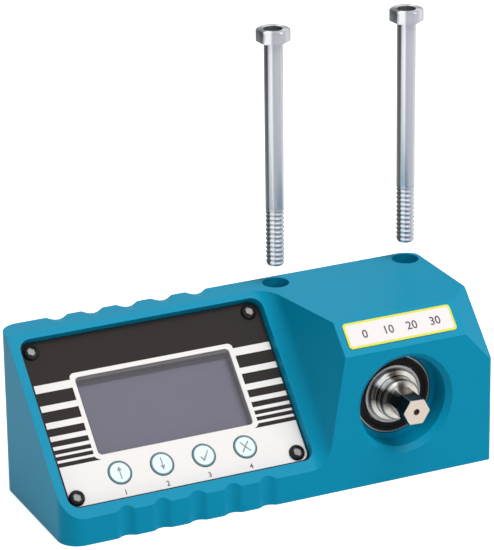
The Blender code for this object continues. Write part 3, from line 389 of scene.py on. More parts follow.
def grain_material(name, colour, roughness, metallic=0.0, scale=900.0, tint=0.05, bump=0.03,
                   stretch=(1, 1, 1), blotch=0.0, specular=None, alpha=1.0):
    """A Principled material with grain and broad variation in its colour, roughness and relief."""
    made = bpy.data.materials.new(name)
    made.use_nodes = True
    nodes, links = made.node_tree.nodes, made.node_tree.links
    shader = nodes["Principled BSDF"]
    shader.inputs["Metallic"].default_value = metallic
    shader.inputs["Alpha"].default_value = alpha
    if specular is not None:
        shader.inputs["Specular IOR Level"].default_value = specular
    where = nodes.new("ShaderNodeTexCoord")
    spaced = nodes.new("ShaderNodeMapping")
    spaced.inputs["Scale"].default_value = stretch
    fine = nodes.new("ShaderNodeTexNoise")
    fine.inputs["Scale"].default_value = scale
    fine.inputs["Detail"].default_value = 4.0
    broad = nodes.new("ShaderNodeTexNoise")
    broad.inputs["Scale"].default_value = 28.0
    links.new(where.outputs["Object"], spaced.inputs["Vector"])
    links.new(spaced.outputs["Vector"], fine.inputs["Vector"])
    links.new(where.outputs["Object"], broad.inputs["Vector"])
    shade = nodes.new("ShaderNodeMixRGB")
    shade.inputs["Color1"].default_value = (*[c * (1 - tint) for c in colour], 1)
    shade.inputs["Color2"].default_value = (*[min(c * (1 + tint), 1) for c in colour], 1)
    links.new(fine.outputs["Fac"], shade.inputs["Fac"])
    patchy = nodes.new("ShaderNodeMixRGB")
    patchy.blend_type = "MULTIPLY"
    patchy.inputs["Color2"].default_value = (1 - blotch, 1 - blotch, 1 - blotch, 1)
    links.new(broad.outputs["Fac"], patchy.inputs["Fac"])
    links.new(shade.outputs["Color"], patchy.inputs["Color1"])
    links.new(patchy.outputs["Color"], shader.inputs["Base Color"])
    rough = nodes.new("ShaderNodeMapRange")
    rough.inputs["To Min"].default_value = roughness * 0.88
    rough.inputs["To Max"].default_value = roughness * 1.12
    links.new(fine.outputs["Fac"], rough.inputs["Value"])
    links.new(rough.outputs["Result"], shader.inputs["Roughness"])
    relief = nodes.new("ShaderNodeBump")
    relief.inputs["Strength"].default_value = bump
    relief.inputs["Distance"].default_value = 0.0003
    links.new(fine.outputs["Fac"], relief.inputs["Height"])
    links.new(relief.outputs["Normal"], shader.inputs["Normal"])
    return made


def streaked_material(name, reflection_stops, roughness, metallic, scale=600.0, bump=0.03, stretch=(1, 1, 1)):
    """Metal with painted reflections: its colour changes in soft bands of painted highlight and painted
    dark reflection round the object's z axis.

    Each stop is a share of the turn and a colour.
    """
    made = grain_material(name, (1, 1, 1), roughness, metallic, scale, 0.05, bump, stretch=stretch)
    nodes, links = made.node_tree.nodes, made.node_tree.links
    shader = nodes["Principled BSDF"]
    grain = shader.inputs["Base Color"].links[0].from_socket
    where = nodes.new("ShaderNodeTexCoord")
    turn = nodes.new("ShaderNodeTexGradient")
    turn.gradient_type = "RADIAL"
    reflection_ramp = nodes.new("ShaderNodeValToRGB")
    links.new(where.outputs["Object"], turn.inputs["Vector"])
    links.new(turn.outputs["Fac"], reflection_ramp.inputs["Fac"])
    reflection_marks = reflection_ramp.color_ramp.elements
    while len(reflection_marks) < len(reflection_stops):
        reflection_marks.new(0.5)
    for mark, (place, colour) in zip(reflection_marks, reflection_stops):
        mark.position = place
        mark.color = (*colour, 1)
    mixed = nodes.new("ShaderNodeMixRGB")
    mixed.blend_type = "MULTIPLY"
    mixed.inputs["Fac"].default_value = 1.0
    links.new(reflection_ramp.outputs["Color"], mixed.inputs["Color1"])
    links.new(grain, mixed.inputs["Color2"])
    links.new(mixed.outputs["Color"], shader.inputs["Base Color"])
    return made


# Painted reflections for the metals, as shares of a turn and colours: light bands are painted highlights,
# dark bands painted reflections of dark surroundings. This first list is the bolts' zinc.
ZINC_PAINTED_REFLECTIONS = [
    (0.0, (0.07, 0.08, 0.085)), (0.07, (0.09, 0.10, 0.11)), (0.095, (0.90, 0.91, 0.93)),
    (0.15, (0.88, 0.89, 0.92)), (0.175, (0.40, 0.41, 0.46)), (0.30, (0.42, 0.43, 0.48)),
    (0.36, (0.62, 0.63, 0.67)), (0.41, (0.55, 0.56, 0.60)), (0.435, (0.20, 0.21, 0.23)),
    (0.52, (0.45, 0.46, 0.50)), (0.60, (0.88, 0.89, 0.92)), (0.66, (0.45, 0.46, 0.50)),
    (0.80, (0.60, 0.61, 0.65)), (0.88, (0.30, 0.31, 0.34)), (0.93, (0.10, 0.11, 0.12)),
    (1.0, (0.07, 0.08, 0.085)),
]
# On the shaft: a broad painted highlight band and painted dark reflections.
NICKEL_PAINTED_REFLECTIONS = [
    (0.0, (0.05, 0.045, 0.04)), (0.085, (0.09, 0.08, 0.07)), (0.115, (1.0, 0.99, 0.97)),
    (0.185, (1.0, 0.99, 0.97)), (0.215, (0.14, 0.11, 0.09)), (0.25, (0.06, 0.045, 0.04)),
    (0.285, (0.32, 0.28, 0.25)), (0.325, (0.68, 0.64, 0.59)), (0.42, (0.60, 0.56, 0.52)),
    (0.50, (0.20, 0.18, 0.17)), (0.60, (0.70, 0.67, 0.63)), (0.70, (0.25, 0.22, 0.20)),
    (0.80, (0.50, 0.46, 0.42)), (0.88, (0.68, 0.64, 0.58)), (0.94, (0.55, 0.51, 0.46)),
    (1.0, (0.05, 0.045, 0.04)),
]
# On the neck's rounded front: a painted highlight band and cream bands that are a painted reflection of the
# floor.
FACE_PAINTED_REFLECTIONS = [
    (0.0, (0.03, 0.028, 0.027)), (0.11, (0.04, 0.035, 0.033)), (0.145, (0.70, 0.67, 0.63)),
    (0.19, (0.78, 0.75, 0.70)), (0.22, (0.12, 0.10, 0.085)), (0.26, (0.09, 0.075, 0.065)),
    (0.32, (0.55, 0.51, 0.46)), (0.42, (0.62, 0.58, 0.52)), (0.55, (0.40, 0.37, 0.34)),
    (0.70, (0.60, 0.56, 0.51)), (0.82, (0.68, 0.64, 0.58)), (0.92, (0.62, 0.58, 0.52)),
    (0.96, (0.30, 0.27, 0.24)), (1.0, (0.05, 0.045, 0.04)),
]
# On the hexagon: painted dark reflections on its faces and a thin painted highlight near one corner.
HEXAGON_PAINTED_REFLECTIONS = [
    (0.0, (0.03, 0.045, 0.05)), (0.166, (0.035, 0.055, 0.065)), (0.169, (0.62, 0.62, 0.60)),
    (0.178, (0.62, 0.62, 0.60)), (0.181, (0.24, 0.23, 0.22)), (0.34, (0.16, 0.16, 0.16)),
    (0.346, (0.40, 0.38, 0.36)), (0.50, (0.45, 0.43, 0.41)), (0.67, (0.40, 0.38, 0.36)),
    (0.84, (0.20, 0.19, 0.18)), (0.846, (0.05, 0.06, 0.065)), (1.0, (0.03, 0.045, 0.05)),
]


TEAL = grain_material("teal_paint", (0.0, 0.268, 0.44), 0.42, scale=1600.0, tint=0.04, bump=0.05,
                      blotch=0.03, specular=0.08)
# Black ink; the same material paints the line of shade round the overlay's edge.
BLACK_PRINT_AND_SHADE = grain_material("black_print", (0.034, 0.028, 0.027), 0.55, tint=0.08, bump=0.01,
                             specular=0.04)
WHITE_PRINT = grain_material("white_print", (0.86, 0.825, 0.805), 0.55, tint=0.02, bump=0.01, specular=0.04)
GREY_PRINT = grain_material("grey_print", (0.25, 0.26, 0.26), 0.5, tint=0.08, bump=0.01, specular=0.3)
DIGIT_PRINT = grain_material("digit_print", (0.12, 0.105, 0.10), 0.5, tint=0.08, bump=0.01, specular=0.2)
STEP_GREY = grain_material("window_step", (0.13, 0.125, 0.135), 0.5, tint=0.06, bump=0.01, specular=0.2)
RING_PRINT = grain_material("key_ring_print", (0.075, 0.19, 0.22), 0.45, tint=0.06, bump=0.01)
KEY_FACE = grain_material("key_face", (0.77, 0.87, 0.90), 0.42, tint=0.02, bump=0.02, specular=0.2)
SCREW_BLACK = grain_material("black_oxide", (0.012, 0.010, 0.010), 0.34, 0.0, 1200.0, 0.15, 0.03,
                             specular=0.22)
SOCKET_GREY = grain_material("socket_floor", (0.16, 0.155, 0.15), 0.45, 0.4, 1200.0, 0.1, 0.03)
BLACK_PLASTIC = grain_material("black_plastic", (0.014, 0.013, 0.013), 0.45, scale=1200.0, tint=0.1)
SEAL_BLACK = grain_material("bearing_seal", (0.010, 0.008, 0.008), 0.55, scale=1500.0, tint=0.15, bump=0.04,
                            specular=0.12)
BEZEL = grain_material("display_bezel", (0.065, 0.058, 0.066), 0.5, tint=0.06, bump=0.01, specular=0.1)
SCREEN = grain_material("display_screen", (0.25, 0.24, 0.345), 0.35, scale=5.0, tint=0.05, bump=0.0,
                        blotch=0.12, specular=0.06)
PANE = grain_material("clear_pane", (0.22, 0.21, 0.23), 0.25, tint=0.03, bump=0.0, specular=0.06,
                      alpha=0.22)
# Nickel for the shaft, hexagon and neck front, with painted reflections in their colour.
NICKEL = streaked_material("polished_nickel", NICKEL_PAINTED_REFLECTIONS, 0.2, 0.7, 900.0, 0.03, (0.05, 0.05, 3))
HEX_NICKEL = streaked_material("hexagon_nickel", HEXAGON_PAINTED_REFLECTIONS, 0.16, 0.9, 400.0, 0.03, (1, 1, 0.05))
NECK_FACE = streaked_material("neck_face", FACE_PAINTED_REFLECTIONS, 0.26, 0.6, 900.0, 0.03, (0.05, 0.05, 3))
# Painted reflection: the hexagon's end is coloured cream for the floor that it mirrors.
HEX_END_PAINTED_REFLECTION = grain_material("hexagon_end", (0.70, 0.60, 0.52), 0.55, 0.25, 1500.0, 0.06, 0.08)
HOLE_METAL = grain_material("hexagon_hole", (0.14, 0.09, 0.07), 0.5, 0.6, 1500.0, 0.1, 0.05)
RING_STEEL = grain_material("ground_steel", (0.36, 0.34, 0.335), 0.36, 0.6, 900.0, 0.06, 0.04)
# Zinc whose colour holds painted reflections: a white highlight band and dark bands round each bolt.
ZINC = streaked_material("zinc_plated", ZINC_PAINTED_REFLECTIONS, 0.36, 0.45, 700.0, 0.04, (1, 1, 0.15))
# Painted shade: the inside of the bolt heads' dish is coloured dark.
ZINC_DISH_PAINTED_SHADE = grain_material("zinc_dish_painted_shade", (0.05, 0.05, 0.055), 0.5, 0.5, 600.0, 0.1, 0.05)
LABEL_WHITE = grain_material("label_white", (0.83, 0.785, 0.785), 0.55, tint=0.02, bump=0.01, specular=0.05)
LABEL_EDGE = grain_material("label_border", (0.72, 0.72, 0.11), 0.55, tint=0.05, bump=0.01, specular=0.1)
LABEL_INK = grain_material("label_ink", (0.06, 0.06, 0.07), 0.5, tint=0.1, bump=0.01, specular=0.3)
INNER_STEEL = grain_material("inner_steel", (0.60, 0.59, 0.57), 0.25, 1.0, 500.0, 0.06, 0.04)
BRASS = grain_material("brass", (0.70, 0.52, 0.25), 0.32, 1.0, 500.0, 0.08, 0.04)
ANODISED = grain_material("anodised_base", (0.05, 0.05, 0.055), 0.5, 0.6, 900.0, 0.1, 0.05)
BOARD = grain_material("circuit_board", (0.02, 0.16, 0.07), 0.4, tint=0.12, scale=300.0, bump=0.03)
NODE_FINISHES = {
    "teal_housing": TEAL, "black_parts": BLACK_PLASTIC, "printed_overlay": WHITE_PRINT,
    "clear_window": PANE, "display_metal": BEZEL, "display_glass": SCREEN, "pale_keys": KEY_FACE,
    "polished_steel": INNER_STEEL, "zinc_plating": ZINC, "brass": BRASS, "black_rubber": SEAL_BLACK,
    "dark_base": ANODISED, "circuit_board": BOARD, "label_white": LABEL_WHITE,
}


def dress_nodes():
    """Give every carried-over CAD node the finish of its slot."""
    for entry in frame["record"]["subparts"]:
        item = frame["nodes"][entry["node"]]
        for holder in item.material_slots:
            holder.material = NODE_FINISHES[entry["material_slot"]]


# Housing

def groove_arc(x, wall, inward):
    """One finger groove in the front (inward = 1) or back wall (inward = -1), its edges blended."""
    blend = GROOVE_BLEND
    reach = GROOVE_RADIUS + blend
    half = math.degrees(math.acos((reach - GROOVE_DEPTH) / reach))
    side = reach * math.sin(math.radians(half))
    centre = (x, wall - inward * (GROOVE_RADIUS - GROOVE_DEPTH))
    turn = 90 * inward
    points = arc((x - inward * side, wall + inward * blend), blend, -turn, half - turn, 6)
    points += arc(centre, GROOVE_RADIUS, turn + half, turn - half, 10)[1:-1]
    return points + arc((x + inward * side, wall + inward * blend), blend, -turn - half, -turn, 6)


def footprint():
    """The housing's outline from above, with the finger grooves in it."""
    points = arc((LEFT + CORNER, FRONT + CORNER), CORNER, 180, 270, 14)
    for x in GROOVES:
        points += groove_arc(x, FRONT, 1)
    points += arc((RIGHT - DRIVE_CORNER, FRONT + DRIVE_CORNER), DRIVE_CORNER, 270, 360, 6)
    points += arc((RIGHT - CORNER, BACK - CORNER), CORNER, 0, 90, 14)
    for x in reversed(GROOVES):
        points += groove_arc(x, BACK, -1)
    points += arc((LEFT + CORNER, BACK - CORNER), CORNER, 90, 180, 14)
    return points


def slope_profile(wall):
    """What is cut away above the slope and the block, as the CAD has it, or moved in by a wall."""
    lean = math.atan(BLOCK_LEAN)
    corner = math.tan(math.radians(45) - lean / 2)
    floor = -CEILING if wall else 0.0
    foot = BLOCK_FOOT + wall / math.cos(lean)
    fillet = 0.3 if wall else BLOCK_FILLET
    rise = BLOCK_RISE - wall
    start = foot + floor * BLOCK_LEAN - fillet * corner
    points = [(LEFT - 5, floor)]
    points += arc((start, floor + fillet), fillet, -90, -math.degrees(lean), 1 if wall else 16)
    points.append((foot + rise * BLOCK_LEAN, rise))
    facet_start = RIGHT - FACET_WIDTH - wall * math.tan(math.atan2(FACET_DROP, FACET_WIDTH) / 2)
    points.append((facet_start, rise))
    points.append((RIGHT + 5, rise - (RIGHT + 5 - facet_start) * FACET_DROP / FACET_WIDTH))
    return points + [(RIGHT + 5, 2 * HEIGHT), (LEFT - 5, 2 * HEIGHT)]


def slope_cutter(name, wall):
    """The slope profile as a solid, run along the slope past both its ends."""
    where = Matrix.Translation((0, FRONT * MM, FRONT_WALL * MM)) \
        @ Matrix.Rotation(SLOPE_ANGLE + math.pi / 2, 4, "X")
    return placed(name, plate(name, slope_profile(wall), -2 * SLOPE_LENGTH, SLOPE_LENGTH), where)


def drum(name, radius, bottom, top, where, steps=64):
    """A plain round cutter."""
    profile = [(0, bottom), (radius, bottom), (radius, top), (0, top)]
    return placed(name, revolve(name, profile, steps), where)


def shell_cutters():
    """What shapes the outside: slope, scoops, recess, bolt holes and panel pocket."""
    cutters = [slope_cutter("slope", 0.0)]
    fall = math.atan2(SCOOP_DEPTH, SCOOP_REACH)
    for i, x in enumerate(GROOVES):
        where = Matrix.Translation((x * MM, (BACK - SCOOP_REACH) * MM,
                                    (HEIGHT + SCOOP_RADIUS / math.cos(fall)) * MM)) \
            @ Matrix.Rotation(-math.pi / 2 - fall, 4, "X")
        cutters.append(drum(f"scoop_{i}", SCOOP_RADIUS, -20, 20, where, 128))
    bore = [(0, BORE_END), (BORE_RADIUS, BORE_END), (BORE_RADIUS, BEARING_BACK),
            (BEARING_SEAT, BEARING_BACK), (BEARING_SEAT, RECESS_DEPTH),
            (RECESS_RADIUS, RECESS_DEPTH), (RECESS_RADIUS, RECESS_CHAMFER),
            (RECESS_RADIUS + RECESS_CHAMFER + 5, -5), (0, -5)]
    cutters.append(placed("bore", revolve("bore", bore, 128), DRIVE))
    for i, x in enumerate(BOLT_X):
        cutters.append(drum(f"hole_{i}", HOLE_RADIUS, -10, HEIGHT + 10,
                            Matrix.Translation((x * MM, BOLT_Y * MM, 0)), 64))
    cutters.append(placed("pocket", plate("pocket", rounded(*POCKET, POCKET_RADIUS), -7.1, 15), SLOPE))
    return cutters


def base_outline():
    """The rebate under the housing that the base plate lies in."""
    side, face = SIDE_WALL - REBATE_LIP, FACE_WALL - REBATE_LIP
    return rounded(LEFT + side, RIGHT - side, FRONT + face, BACK - face, CORNER - side)


def cavity():
    """The hollow inside, less its pillars and bosses."""
    inside = rounded(LEFT + SIDE_WALL, RIGHT - SIDE_WALL, FRONT + FACE_WALL, BACK - FACE_WALL,
                     CORNER - SIDE_WALL)
    block = placed("cavity", plate("cavity", inside, 1.4, HEIGHT - FACE_WALL))
    keep = [slope_cutter("ceiling", FACE_WALL)]
    for i, x in enumerate(BOLT_X):
        keep.append(drum(f"pillar_{i}", HOLE_RADIUS + PILLAR_WALL, -10, HEIGHT + 5,
                         Matrix.Translation((x * MM, BOLT_Y * MM, 0)), 40))
    for i, (x, y) in enumerate(BASE_SCREWS):
        keep.append(drum(f"boss_{i}", 4.0, REBATE_TOP, HEIGHT + 5,
                         Matrix.Translation((x * MM, y * MM, 0)), 24))
    keep.append(drum("bearing_boss", RECESS_RADIUS + 4, -5, 25.3, DRIVE, 64))
    keep.append(drum("flange_boss", 19.0, BORE_END, 76.0, DRIVE, 64))
    hollow = placed("hollow", boolean(block, keep))
    rebate = placed("rebate", plate("rebate", base_outline(), -5, REBATE_TOP))
    ring = placed("rebate_ring", boolean(
        rebate, [drum(f"pillar_foot_{i}", HOLE_RADIUS + PILLAR_WALL, -10, 10,
                      Matrix.Translation((x * MM, BOLT_Y * MM, 0)), 40) for i, x in enumerate(BOLT_X)]))
    return placed("inside", boolean(hollow, [ring], "UNION"))


def make_housing():
    """The moulded housing with its edges rounded, hollow as the CAD has it."""
    block = placed("block", plate("block", footprint(), 0, HEIGHT))
    side = [(LEFT - 5, -5), (RIGHT, -5)] + arc((RIGHT - TOP_EDGE, HEIGHT - TOP_EDGE), TOP_EDGE, 0, 90, 8)
    side.append((LEFT - 5, HEIGHT))
    trim = placed("side", plate("side", side, -80, 80), Matrix.Rotation(math.pi / 2, 4, "X"))
    block = placed("block", boolean(block, [trim], "INTERSECT"))
    outside = rounded_edges(boolean(block, shell_cutters()), EDGE_ROUND)
    opening = rounded(POCKET[0] + LEDGE, POCKET[1] - LEDGE, POCKET[2] + LEDGE, POCKET[3] - LEDGE, 8)
    inner = [cavity(), placed("opening", plate("opening", opening, -15, -3.5), SLOPE)]
    flange_screws = arc((0, 0), FLANGE_CIRCLE, 45, 315, 3)
    for name, places, radius, low, high, start in (
            ("screw_hole", PANEL_SCREWS, SCREW_HOLE, -15, -3.5, SLOPE),
            ("base_hole", BASE_SCREWS, BASE_HOLE, -5, 5.9, HERE),
            ("flange_hole", flange_screws, FLANGE_HOLE, 56, 65.3, DRIVE)):
        for i, (x, y) in enumerate(places):
            inner.append(drum(f"{name}_{i}", radius, low, high,
                              start @ Matrix.Translation((x * MM, y * MM, 0)), 20))
    inner.append(drum("inlet_hole", INLET_HOLE, -8, 5,
                      Matrix.Translation((INLET_X * MM, BACK * MM, INLET_Z * MM))
                      @ Matrix.Rotation(-math.pi / 2, 4, "X"), 48))
    mesh = boolean(placed("outside", outside), inner)
    item = piece("housing_shell", mesh, "housing", TEAL, stands_for=("case",), angle=30)
    shading = item.modifiers.new("shading", "WEIGHTED_NORMAL")
    shading.keep_sharp = True


# Panel

def black_field():
    """The black field over the window, down to the first white band."""
    left, right, _, top = PANEL
    frame_left, frame_right, frame_top = PRINT_FRAME
    radius = 2.2
    points = [(left, BLACK_FOOT), (frame_left, BLACK_FOOT)]
    points += arc((frame_left + radius, frame_top - radius), radius, 180, 90, 6)
    points += arc((frame_right - radius, frame_top - radius), radius, 90, 0, 6)
    points += [(frame_right, BLACK_FOOT), (right, BLACK_FOOT)]
    points += arc((right - PANEL_RADIUS, top - PANEL_RADIUS), PANEL_RADIUS, 0, 90, 8)
    points += arc((left + PANEL_RADIUS, top - PANEL_RADIUS), PANEL_RADIUS, 90, 180, 8)
    return points


def panel_plate(name, outline, bottom, top, finish, stands_for=(), holes=()):
    """A flat piece of the panel, between two heights in the slope's frame."""
    piece(name, plate(name, outline, bottom, top, holes), "housing", finish, SLOPE, stands_for)


def black_print(name, outline, thickness=INK, holes=()):
    """Black print on the overlay, and the line of painted shade round its edge."""
    panel_plate(name, outline, SHEET_FACE, SHEET_FACE + thickness, BLACK_PRINT_AND_SHADE,
                holes=holes)


def make_panel():
    """The white overlay, its black print, a line of painted shade round its edge, the window and what lies
    behind it.
    """
    screw_holes = [circle(c, SCREW_HOLE, 24) for c in PANEL_SCREWS]
    holes = [rounded(*WINDOW, 1.9)] + [circle(c, KEY_HOLE) for c in KEYS] + screw_holes
    panel_plate("panel_sheet", rounded(*PANEL, PANEL_RADIUS), SHEET_BACK, SHEET_FACE, WHITE_PRINT,
                ("panel_overlay",), holes)
    black_print("panel_black", black_field(), holes=screw_holes[2:])
    # Painted shade: a black line round the overlay's edge, where the rim meets it.
    black_print("panel_shade_line", rounded(*PANEL, PANEL_RADIUS), INK * 2 / 3, [rounded(*SHADE_LINE_INSIDE)])
    left, right = PANEL[:2]
    inner_left, inner_right = PRINT_FRAME[:2]
    for i, (low, high) in enumerate(BARS):
        for side, a, b in (("left", left, inner_left), ("right", inner_right, right)):
            black_print(f"bar_{side}_{i}", [(a, low), (b, low), (b, high), (a, high)])
    low, high = LAST_BAR
    middle = (low + high) / 2
    shapes = {"left": [(left, low), (inner_left + 2.2, low), (inner_left + 0.6, middle), (inner_left, high),
                       (left, high)],
              "right": [(right, low), (right, high), (inner_right, high), (inner_right - 0.6, middle),
                        (inner_right - 2.2, low)]}
    for side, outline in shapes.items():
        black_print(f"bar_{side}_last", outline)
    pane = rounded(WINDOW[0] + 0.15, WINDOW[1] - 0.15, WINDOW[2] + 0.15, WINDOW[3] - 0.15, 1.75)
    panel_plate("window_pane", pane, SHEET_BACK, SHEET_FACE, PANE, ("display_window",))
    step = [(-74.4, 62.7), (-74.4, 60.9), (-4.1, 60.9), (-4.1, 26.6), (-3.2, 26.6), (-3.2, 62.7)]
    panel_plate("window_step", step, -4.75, -4.6, STEP_GREY)
    screen = rounded(-73.6, -3.4, 27.6, 61.0, 0.8)
    shown = rounded(-72.6, -4.3, 28.0, 59.5, 0.5)
    outer = rounded(-80.0, 1.6, 21.5, 68.5, 1.0)
    panel_plate("screen_bezel", outer, -9.6, -7.2, BEZEL, ("display_frame",), [shown])
    panel_plate("screen", screen, -9.5, -8.2, SCREEN, ("display_glass",))


# The signs on the keys, left to right: arrow up, arrow down, tick and cross
SIGNS = [
    [(-0.25, -2.9), (0.25, -2.9), (0.25, 0.9), (1.1, 0.7), (0, 2.8), (-1.1, 0.7), (-0.25, 0.9)],
    [(-0.25, 2.9), (-0.25, -0.7), (-1.1, -0.5), (0, -2.7), (1.1, -0.5), (0.25, -0.7), (0.25, 2.9)],
    [(-1.9, -0.6), (-1.5, -0.2), (-0.5, -1.5), (2.1, 2.0), (2.4, 1.75), (-0.3, -2.5), (-0.7, -2.5)],
    [(-2.05, 2.2), (-0.4, 0.1), (-2.05, -2.1), (-1.55, -2.4), (0.0, -0.4), (1.75, -2.35), (2.2, -2.0),
     (0.35, 0.1), (2.1, 2.0), (1.65, 2.4), (0.0, 0.55), (-1.55, 2.5)],
]


def make_keys():
    """Four round keys: cap with stem, printed ring and sign, and a plain number below each."""
    cap = -3.7
    profile = [(0, cap), (4.6, cap)] + arc((4.6, cap - 0.45), 0.45, 90, 0, 6)[1:]
    profile += [(5.05, cap - 0.9), (2.0, cap - 0.9), (2.0, -8.7), (0, -8.7)]
    for i, ((x, y), shape) in enumerate(zip(KEYS, SIGNS), start=1):
        where = SLOPE @ Matrix.Translation((x * MM, y * MM, 0))
        body = f"key_{i}"
        piece(f"key_cap_{i}", revolve(f"key_cap_{i}", profile), body, KEY_FACE, where, (body,))
        ring = plate(f"key_ring_{i}", circle((0, 0), 4.72), cap - 0.02, cap + 0.03, [circle((0, 0), 4.28)])
        piece(f"key_ring_{i}", ring, body, RING_PRINT, where)
        edge = revolve(f"key_edge_{i}", [(4.6, cap - 0.02), (4.72, cap + 0.03), (5.0, cap - 0.12),
                                         (5.14, cap - 0.45), (5.14, cap - 0.85), (4.9, cap - 0.85)])
        piece(f"key_edge_{i}", edge, body, RING_PRINT, where)
        sign = plate(f"key_sign_{i}", shape, cap - 0.02, cap + 0.03)
        piece(f"key_sign_{i}", sign, body, GREY_PRINT, where)
        number(f"key_number_{i}", str(i), (x, 7.9), 3.1, SLOPE, -4.01, DIGIT_PRINT)


def number(name, text, place, size, where, height, finish):
    """Plain printed digits, as thin as ink."""
    curve = bpy.data.curves.new(name, "FONT")
    curve.body = text
    curve.size = size * MM
    curve.align_x = "CENTER"
    curve.extrude = 0.02 * MM
    curve.offset = 0.07 * MM
    curve.resolution_u = 4
    spot = where @ Matrix.Translation((place[0] * MM, place[1] * MM, (height + 0.02) * MM))
    piece(name, curve_mesh(name, curve), "housing", finish, spot)


def make_panel_screws():
    """Black dome-head screws with hexagon sockets."""
    base = -3.95
    profile = [(0, base - 6), (1.8, base - 6), (1.8, base), (3.35, base), (3.45, base + 0.12),
               (3.45, base + 0.45)]
    profile += [(3.45 * math.cos(a) ** 0.85, base + 0.45 + 1.8 * math.sin(a))
                for a in [math.radians(8 + 78 * i / 9) for i in range(10)]]
    profile.append((0, base + 2.25))
    head = boolean(placed("head", revolve("head", profile, 96)),
                   [placed("socket", prism("socket", 6, 3.6, base + 1.0, base + 3, math.radians(30)))])
    for i, (x, y) in enumerate(PANEL_SCREWS, start=1):
        where = SLOPE @ Matrix.Translation((x * MM, y * MM, 0))
        piece(f"dome_screw_{i}", head.copy(), "housing", SCREW_BLACK, where,
              (f"panel_screw_{i}",))
        floor = prism(f"screw_socket_{i}", 6, 3.5, base + 0.9, base + 1.03, math.radians(30))
        piece(f"screw_socket_{i}", floor, "housing", SOCKET_GREY, where)


def make_label():
    """The label plate with its yellow border and plain numbers."""
    x, y = LABEL_CENTRE
    width, height = LABEL_SIZE[0] / 2, LABEL_SIZE[1] / 2
    outline = rounded(x - width, x + width, y - height, y + height, 1.6)
    piece("label_plate", plate("label_plate", outline, 0.15, 0.5), "housing", LABEL_EDGE,
          LABEL, ("range_label",))
    width, height = width - LABEL_BORDER, height - LABEL_BORDER
    face = rounded(x - width, x + width, y - height, y + height, 1.0)
    piece("label_face", plate("label_face", face, 0.48, 0.52), "housing", LABEL_WHITE, LABEL)
    for i, text in enumerate(("0", "10", "20", "30")):
        number(f"label_number_{i}", text, (x - 16.5 + 11 * i, y - 1.9), 5.2, LABEL, 0.51, LABEL_INK)


# Drive

def make_bearing():
    """The bearing's two rings and its front seal."""
    front, back = RECESS_DEPTH, RECESS_DEPTH + 10
    outer = [(17.5, back), (17.5, front + 0.3), (17.3, front), (16.95, front), (16.85, front + 0.2),
             (16.85, front + 1.3), (14.9, front + 1.3), (14.9, back - 1.3), (16.85, back - 1.3),
             (16.85, back)]
    inner = [(13.0, back), (13.0, front + 0.15), (12.9, front + 0.02), (12.1, front), (12.0, front + 0.25),
             (8.8, front + 0.25), (8.8, back)]
    seal = [(16.6, front + 1.0), (13.3, front + 1.0), (13.3, front + 0.25), (13.6, front + 0.1),
            (15.0, front + 0.1), (15.2, front + 0.22), (15.9, front + 0.22), (16.1, front + 0.1),
            (16.5, front + 0.1), (16.6, front + 0.25)]
    for name, profile, finish, slot, node in (
            ("outer_ring", outer, RING_STEEL, "polished_steel", "bearing_outer_ring"),
            ("inner_ring", inner, RING_STEEL, "polished_steel", "bearing_inner_ring"),
            ("front_seal", seal, SEAL_BLACK, "black_rubber", "bearing_seal_front")):
        piece(name, revolve(name, profile, 128), "housing", finish, DRIVE, (node,))


def shaft_profile():
    """The turned shaft from its flange to the face that the hexagon stands on."""
    neck, collar = 9.1, 11.5
    points = [(0, 60.7), (15.0, 60.7), (15.0, 54.7), (6.0, 54.7), (6.0, 52.7), (5.0, 50.7), (5.0, 29.3),
              (6.0, 27.3), (6.0, 25.3), (8.5, 25.3), (8.5, 11.0), (collar, 11.0), (collar, 10.1),
              (collar - 0.3, 9.8), (neck + 0.4, 9.6)]
    points += arc((neck + 0.4, 9.2), 0.4, 90, 180, 3)
    for z in (7.4, 6.2):
        points += [(neck, z + 0.25), (neck - 0.28, z + 0.12), (neck - 0.28, z - 0.12), (neck, z - 0.25)]
    return points + [(neck, 5.0), (0, 5.0)]


def make_drive():
    """The polished shaft, its rounded front, its hexagon and the hexagon's matt end."""
    # The shaft, its front and the hexagon have painted reflections in their colour.
    piece("shaft", revolve("shaft", shaft_profile(), 128), "housing", NICKEL, DRIVE,
          ("drive_shaft",))
    front = [(0, 5.0), (9.1, 5.0)] + arc((7.4, 5.1), 1.7, 0, -90, 10)[1:] + [(0, 3.4)]
    piece("shaft_front", revolve("shaft_front", front, 128), "housing", NECK_FACE, DRIVE)
    flat, corner = 5.45, 10.9 / math.sqrt(3)
    turn = math.radians(32.5 + 90)
    nose = [(0, 4.0), (corner + 1, 4.0), (corner + 1, -9.4), (corner - 0.3, -10.15), (0, -10.15)]
    hexagon = boolean(placed("hexagon", prism("hexagon", 6, 10.9, -10.15, 3.8, turn)),
                      [placed("nose", revolve("nose", nose, 128))], "INTERSECT")
    hexagon = boolean(placed("hexagon", hexagon), [drum("centre", 1.4, -12, -6, HERE, 32)])
    piece("hexagon", rounded_edges(hexagon, 0.14, 2), "housing", HEX_NICKEL, DRIVE,
          angle=25)
    outline = []
    for degrees in range(0, 360, 3):
        around = (math.radians(degrees) - turn) % (math.pi / 3) - math.pi / 6
        radius = min(corner - 0.45, (flat - 0.2) / math.cos(around))
        outline.append((radius * math.cos(math.radians(degrees)), radius * math.sin(math.radians(degrees))))
    # The end's cream colour is a painted reflection of the floor.
    end = plate("hexagon_end", outline, -10.19, -10.13, [circle((0, 0), 1.42, 32)])
    piece("hexagon_end", end, "housing", HEX_END_PAINTED_REFLECTION, DRIVE)
    hole = revolve("hexagon_hole", [(0, -8.0), (1.38, -8.0), (1.38, -9.9), (1.2, -9.6), (1.1, -8.4),
                                    (0, -8.4)], 32)
    piece("hexagon_hole", hole, "housing", HOLE_METAL, DRIVE)


# Mounting bolts

